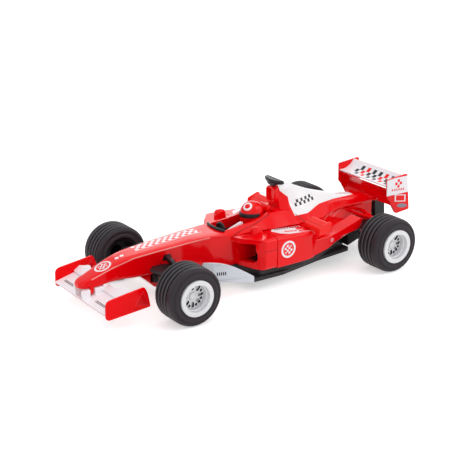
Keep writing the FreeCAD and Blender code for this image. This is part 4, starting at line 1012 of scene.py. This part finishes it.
def nose_marks(x, y, z):
    """Marks in plan view, kept to the top by z over 15, and marks in side view."""
    top = z.over(15.0)
    side = abs(y)
    # long chequered field on the top of the nose, between two thin lines
    yield chequer(x, y, 1.55, (20.6, -4.75)) * x.within(21.6, 51.6) * y.within(-4.75, -0.1) * top, WHITE
    yield x.within(21.0, 52.2) * abs(y + 2.4).within(2.65, 2.95, 0.08) * top, WHITE
    # roundel near the tip, two dots behind it and a red knob before the cockpit
    for mask in roundel(x, y, NOSE_ROUNDEL, 1.9, 2.55, 3.3, 0.9):
        yield mask * top, WHITE
    for dot in (60.3, 58.1):
        yield reach_from(x, y, (dot, 0.0)).under(0.85) * top, WHITE
    yield reach_from(x, y, (19.7, 0.2)).under(0.65) * top, (0.95, 0.004, 0.004)
    # painted shade: black in the slots round the upper arms and inside the air ducts
    yield inside(x, z, shifted([(-6.8, 17.4), (-2.2, 17.4), (-3.0, 19.8), (-5.8, 19.8)], FX)), BLACK
    yield side.within(9.3, 18.35) * z.within(11.2, 20.3) * x.under(FX - 40.5, 3.0), BLACK
    # painted shade: dark lines along the grooves of the surround; and a thin dark line on the side of the intake
    yield line_between(x, side, (14.9, 10.3), (4.5, 7.9), 0.24) * z.over(22.0), SHADE
    yield line_between(x, side, (4.5, 7.9), (-8.0, 7.3), 0.24) * z.over(22.0), SHADE
    yield abs(z - 17.5).under(0.09, 0.08) * x.under(SPLIT + 6.0) * side.over(21.0), DEEP
    # painted highlight: a thin pale line along the edge of the nose, where it catches the light
    for (a, half, height), (b, next_half, next_height) in zip(NOSE_EDGE, NOSE_EDGE[1:]):
        in_plan = line_between(x, side, (FX + b, next_half), (FX + a, half), 0.22)
        in_view = line_between(x, z, (FX + b, next_height), (FX + a, height), 0.24)
        yield in_plan * in_view, (0.93, 0.30, 0.28)


print("edge of the nose in", len(NOSE_EDGE) - 1, "pale lines")

# %% [markdown]
# The engine cover is white behind a stepped edge. Each pod has a roundel on its side and a white patch
# with flames on its top, and a few pink strokes lie on the flank behind it.

# %% Print on the pods and the engine cover
POD_ROUNDEL = (-7.5, 16.3)


def white_panel(x, z):
    """The white back of the engine cover. It lies behind x = -16.9 - 3.4 clamp((34.7 - z) / 2.9), and
    above z = 24.8 plus a rise of 1.5 from x = -27 to x = -36, which falls off again behind x = -45."""
    front = (z.math("MULTIPLY_ADD", -1 / 2.9, 34.7 / 2.9, clamp=True) * -3.4) - 16.9
    rising = (x * (-1 / 9.0) - 3.0).math("MULTIPLY", 1.5).math("MAXIMUM", 0.0).math("MINIMUM", 1.5)
    low = rising - ((x * (-1 / 12.0) - 3.75).math("MAXIMUM", 0.0) * 0.6)
    return (front - x).over(0.0, 0.12) * (z - low).over(24.8, 0.12)


# three flames behind the white patch on the pods, and a red line on it: start, end, half width, colour
FLAMES = [((-14.8, 13.2), (-19.6, 13.3), 0.75, PINK), ((-14.8, 16.3), (-18.4, 16.9), 0.45, PINK),
          ((-14.8, 18.5), (-20.6, 19.2), 0.5, PINK), ((-9.5, 15.9), (-14.8, 17.4), 0.55, RED)]
FLANK_STROKES = [((-42.1, 21.9), (-34.9, 18.2)), ((-46.0, 21.6), (-38.7, 19.9)),
                 ((-49.5, 21.8), (-44.0, 18.8))]


def rear_marks(x, y, z):
    """Marks in side view, kept to the flanks by |y| over a limit, and marks in plan view on the pods."""
    side = abs(y)
    yield white_panel(x, z), (0.88, 0.87, 0.89)
    # small chequered field on the white panel, and the joint below its front
    level = z + x * 0.06
    field = x.within(-33.8, -22.6) * level.within(26.2, 28.7) * side.over(1.5)
    yield chequer(x, level, 1.25, (-35.0, 26.2)) * field, INK
    yield line_between(x, z, (-20.8, 25.4), (-24.0, 21.6), 0.12) * side.over(6.0), INK
    for mask in roundel(x, z, POD_ROUNDEL, 2.1, 2.75, 3.65, 1.0):
        yield mask * side.over(20.8), WHITE
    # patch on each pod: a white half leaf with its flames, and a row of strokes on its edge
    top = z.over(20.6)
    leaf = [(-15.4, 19.5), (-16.6, 12.7), (-6.2, 11.5), (-4.6, 13.4), (-6.4, 17.2), (-9.6, 19.1)]
    yield inside(x, side, leaf) * top, WHITE
    for start, end, half, tone in FLAMES:
        yield line_between(x, side, start, end, half) * top, tone
    yield line_between(x, side, (-6.9, 12.5), (-19.0, 13.4), 0.5) * strokes(x, 1.25) * top, INK
    # a spot low on the pod, a thin white line on the lip of the tail and strokes on the flank
    yield reach_from(x, z, (-31.9, 14.8)).under(0.95, 0.2) * side.over(18.0), PINK
    yield x.under(RX - 12.8) * z.within(23.0, 23.3), WHITE
    for start, end in FLANK_STROKES:
        yield line_between(x, z, start, end, 0.14) * side.within(4.0, 12.0), PINK


print("flames and line:", len(FLAMES), "strokes on the flank:", len(FLANK_STROKES))

# %% [markdown]
# Wings, boards and helmet carry smaller marks of the same kind, some of them painted shade and highlights.
# Each function gives its marks in the view from which they are seen: side view for endplates and boards, plan view
# for the wings.

# %% Print and painted light on wings, boards and helmet
def rear_endplate_marks(x, y, z):
    """On the outer face, |y| over 16.3: a white field with red squares and strokes, a grey oval, and a
    white frame where the larger of |x + 72.7| / 2 and |z - 0.17 x - 37.3| lies between two limits."""
    out = abs(y).over(16.3)
    yield z.over(27.05) * z.under(34.6) * out * (z + x * 0.09).under(28.35), WHITE
    yield chequer(x, z, 1.3, (-73.3, 29.9)) * x.within(-73.3, -69.4) * z.within(29.9, 33.8) * out, RED
    yield strokes(x, 1.1) * x.within(-75.2, -67.2) * (z + x * -0.06).within(32.9, 33.8) * out, RED
    outline = (abs(x + 72.7) * 0.5).math("MAXIMUM", abs(z + x * -0.17 - 37.3)).within(1.25, 1.6, 0.08)
    yield outline * out, WHITE
    yield reach_from(x * 0.32, z + x * -0.17, (-73.9 * 0.32, 33.85)).under(0.95) * out, (0.25, 0.25, 0.30)


def rear_wing_marks(x, y, z):
    """A chequered field across the upper plane, with two columns in red, and a red rear edge."""
    squares = chequer(y, x, 1.95, (-9.6, -72.1)) * x.within(-72.1, -66.25) * z.over(31.2)
    yield squares * y.within(-9.6, 13.8), INK
    yield squares * (y.within(-5.7, -1.8) + y.within(6.0, 9.9)), RED
    yield x.under(RX - 18.9), RED


def front_wing_marks(x, y, z):
    """Two rows of strokes across the wing, and a paler front edge."""
    rows = abs(y + 12.9).under(4.2) + abs(y - 12.2).under(3.8)
    yield strokes(y, 1.15) * rows * x.within(73.9, 75.1) * z.over(7.6), INK
    yield x.over(77.5), (0.86, 0.55, 0.60)


def board_marks(x, y, z):
    """One row of strokes, which rises by 0.12 mm for each millimetre forward."""
    yield strokes(x, 0.95) * x.within(21.6, 26.6) * (z - x * 0.12).within(8.3, 9.7), INK


def front_endplate_marks(x, y, z):
    """A triangle of relief in paint: a darker field as painted shade, and a pale line between a larger and a
    smaller outline as a painted highlight on its edge.
    """
    # painted shade: the darker field of the triangle
    yield inside(x, z, [(58.9, 7.8), (64.2, 9.0), (61.0, 13.4)]), (0.76, 0.001, 0.004)
    not_inner = (inside(x, z, [(59.0, 7.9), (64.1, 9.0), (61.0, 13.3)]) - 1.0) * -1.0
    # painted highlight: a pale line round the triangle
    yield inside(x, z, [(58.6, 7.4), (64.9, 8.8), (61.0, 14.2)]) * not_inner, (0.96, 0.02, 0.03)


def helmet_marks(x, y, z):
    """A ring where the distance from a point under the crown lies between two limits, and black painted shade on
    the lowest part, down in the well.
    """
    ring = ((x + 1.3) * (x + 1.3) + (y - 1.3) * (y - 1.3) + (z - 30.4) * (z - 30.4)).math("SQRT")
    yield ring.within(1.15, 1.95), WHITE
    # painted shade: black on the lowest part of the helmet, down in the well
    yield z.under(21.6), BLACK


def winglet_marks(x, y, z):
    """A darker red line across the top of each winglet, along a groove; the rest of the winglet is a lighter red,
    painted sheen.
    """
    yield abs(x + 22.6).under(0.4, 0.15) * z.over(22.9) * abs(y).within(14.9, 24.3), (0.8, 0.0, 0.0)


def cockpit_marks(x, y, z):
    """Black at the bottom of the well, where no light reaches."""
    yield z.under(21.0), BLACK


print("marks for eight kinds of pieces")

# %% [markdown]
# Tyres and rims have no print, but their recesses need tone. On the treads it is painted light: the
# floors of the grooves are painted darker than the rubber as their shade, and their edges paler as a
# painted highlight. On the rims the attribute that was stored with the slots says where the disc is pressed in.

# %% Treads and rims
def tread_shade_and_highlight(x, y, z):
    """The distance from the nearest groove is |frac((y - first) / pitch + 1/2) - 1/2| pitches."""
    for (_, _, inner), on_axle in zip(WHEELS, (x.over(0.0), x.under(0.0))):
        first = inner + FIRST_GROOVE
        tread = on_axle * abs(y).within(first - GROOVE_PITCH / 2, first + 3.5 * GROOVE_PITCH)
        place = ((abs(y) - first) * (1 / GROOVE_PITCH) + 0.5).math("FRACT")
        away = abs(place * GROOVE_PITCH - GROOVE_PITCH / 2)
        # painted highlight: paler rubber along the edges of each groove
        yield tread * away.within(0.5, 0.74), (0.085, 0.08, 0.09)
        # painted shade: darker rubber on the floor of each groove
        yield tread * away.under(0.42), (0.006, 0.005, 0.006)


def recess_in(material):
    """Darken a rim where its recess attribute says that the disc is pressed in."""
    tree = material.node_tree
    depth = Field(tree, add(tree, "Attribute", output="Fac", attribute_name="recess"))
    colour = tree.nodes["Principled BSDF"].inputs["Base Color"]
    mask = depth.over(0.04, 0.08)
    feed(tree, blend(tree, mask, colour.links[0].from_socket, (0.004, 0.004, 0.004)), colour)
    return material


print("tone for grooves every", GROOVE_PITCH, "mm and for", SLOTS, "slots")

# %% [markdown]
# Every node of the model has a slot, and each slot has one finish. Printed pieces have a finish of their
# own instead. The CAD nodes that stay in sight, such as axles and wheel cores, get theirs too.

# %% Finishes
finish_of = {
    "red_body": finish("red_paint", RED, 0.13),
    "white_plastic": finish("white_plastic", LIT_WHITE, 0.22, drift=0.02),
    "black_plastic": finish("black_plastic", (0.018, 0.017, 0.019), 0.34, grain=(1800.0, 0.12)),
    "tyre_rubber": finish("vinyl_rubber", (0.028, 0.022, 0.027), 0.5, tread_shade_and_highlight, drift=0.12,
                          grain=(2600.0, 0.25)),
    "axle_steel": finish("turned_steel", (0.62, 0.61, 0.60), 0.28, metal=1.0, grain=(1500.0, 0.1)),
    "rim_silver": recess_in(finish("silver_paint", (0.74, 0.74, 0.76), 0.3, metal=0.15, grain=(3500.0, 0.2))),
}
own_finish = {
    "front_body": finish("nose_and_tub", RED, 0.13, nose_marks),
    "rear_body": finish("pods_and_cover", RED, 0.13, rear_marks),
    "rear_wing_plane": finish("rear_wing_print", WHITE, 0.22, rear_wing_marks, drift=0.02),
    "front_wing_plane": finish("front_wing_print", LIT_WHITE, 0.22, front_wing_marks, drift=0.02),
    "cockpit_floor": finish("cockpit_plastic", WHITE, 0.3, cockpit_marks, drift=0.02),
    # the winglets' red is lighter than RED: painted sheen on their tops
    "winglet": finish("winglet_paint_and_sheen", (0.93, 0.012, 0.008), 0.16, winglet_marks),
    "driver_helmet": finish("helmet_paint", RED, 0.12, helmet_marks),
    "rear_endplate": finish("rear_endplate_print", RED, 0.15, rear_endplate_marks),
    "front_endplate": finish("front_endplate_paint", (0.93, 0.0, 0.003), 0.15, front_endplate_marks,
                             shine=0.1),
    # the boards' white plastic has a darker, bluer base than the other white parts: painted shade
    "barge_board": finish("board_print_and_shade", (0.72, 0.75, 0.82), 0.25, board_marks, drift=0.02),
}
core_plastic = finish("core_plastic", (0.004, 0.003, 0.004), 0.3)
slot_of = {row["node"]: row["material_slot"] for row in frame["record"]["subparts"]}
for node, thing in frame["nodes"].items():
    thing.data.materials.clear()
    thing.data.materials.append(core_plastic if "_core_" in node else finish_of[slot_of[node]])
for node, thing in pieces.items():
    kind = node.removesuffix("_left").removesuffix("_right")
    thing.data.materials.clear()
    thing.data.materials.append(own_finish.get(kind) or finish_of[thing["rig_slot"]])
print("materials:", len(bpy.data.materials))

# %% [markdown]
# The camera stands where the photograph's camera stood. Its three axes and its lens were fitted to the
# four wheels and to the car's symmetry. The axes point right, up and back, as Blender's camera has them.

# %% Camera
camera_axes = Matrix((Vector((-0.8228, 0.5684, 0.0)), Vector((-0.1882, -0.2725, 0.9436)),
                      Vector((0.5363, 0.7764, 0.3312)))).transposed().to_4x4()
cam = bpy.data.cameras.new("camera")
cam.lens = 92.08
cam.sensor_width = 36
cam.clip_start = 0.01
eye = put("camera", cam)
eye.matrix_world = Matrix.Translation(Vector((0.26421, 0.37003, 0.18119))) @ camera_axes
bpy.context.scene.camera = eye
print("the camera is", round(eye.matrix_world.translation.length, 3), "m away, with a lens of", cam.lens)

# %% [markdown]
# The light is a plain soft studio: a pale world, a softbox above, one at the side, a panel behind and a
# wide fill in front. The world is white where it is seen directly and in reflections, so that the
# background is white without more light on the car.

# %% Light
WORLD_STRENGTH = 0.68
PAPER = (1.0, 1.0, 1.0)


def seen_directly(tree):
    """1 for rays from the camera, from a mirror-like face and through a clear one, otherwise 0."""
    path = add(tree, "LightPath").node
    camera, mirror_like, clear = (Field(tree, path.outputs[f"Is {kind} Ray"])
                                  for kind in ("Camera", "Glossy", "Transmission"))
    return camera.math("MAXIMUM", mirror_like).math("MAXIMUM", clear)


world = bpy.data.worlds.new("studio")
world.use_nodes = True
tree = world.node_tree
light = tree.nodes["Background"]
feed(tree, PAPER, light.inputs["Color"])
feed(tree, WORLD_STRENGTH, light.inputs["Strength"])
paper = add(tree, "Background", {"Color": PAPER})
choose = add(tree, "MixShader", {0: seen_directly(tree), 1: light.outputs[0], 2: paper})
feed(tree, choose, tree.nodes["World Output"].inputs["Surface"])
bpy.context.scene.world = world


def lamp(name, place, aim, width, height, watts):
    """A rectangular area lamp at a place in metres, turned towards its aim."""
    data = bpy.data.lights.new(name, "AREA")
    data.shape = "RECTANGLE"
    data.size = width
    data.size_y = height
    data.energy = watts
    thing = put(name, data)
    thing.location = place
    thing.rotation_euler = (Vector(aim) - Vector(place)).to_track_quat("-Z", "Y").to_euler()


lamp("top softbox", (0.05, 0.1, 0.7), (0, 0, 0), 0.6, 0.6, 1.0)
lamp("side softbox", (-0.47, 0.42, 0.46), (-0.02, 0, 0.02), 0.45, 0.36, 1.25)
lamp("back panel", (-0.34, -0.52, 0.27), (0.02, 0, 0.01), 0.5, 0.28, 0.5)
lamp("front fill", (0.75, 0.6, 0.45), (0, 0, 0.01), 0.8, 0.8, 1.1)
print("lamps:", len(bpy.data.lights))

# %% [markdown]
# The floor is a sheet of pale paper. A glow that only the camera and reflections see lifts it to white,
# and the lamps' light on it still carries the car's shadow.

# %% Floor
FLOOR_GLOW = 0.48
ground = bpy.data.meshes.new("floor")
ground.from_pydata([(-4, -4, 0), (4, -4, 0), (4, 4, 0), (-4, 4, 0)], [], [(0, 1, 2, 3)])
matt = finish("paper", (0.93, 0.93, 0.93), 0.9, drift=0.0, grain=(400.0, 0.02))
tree = matt.node_tree
glow = add(tree, "Emission", {"Color": PAPER, "Strength": seen_directly(tree) * FLOOR_GLOW})
both = add(tree, "AddShader", {0: tree.nodes["Principled BSDF"].outputs[0], 1: glow})
feed(tree, both, tree.nodes["Material Output"].inputs["Surface"])
ground.materials.append(matt)
put("floor", ground)
bpy.context.scene.view_settings.view_transform = "Standard"
print("floor of", round(ground.vertices[2].co.x * 2), "m")

# %% [markdown]
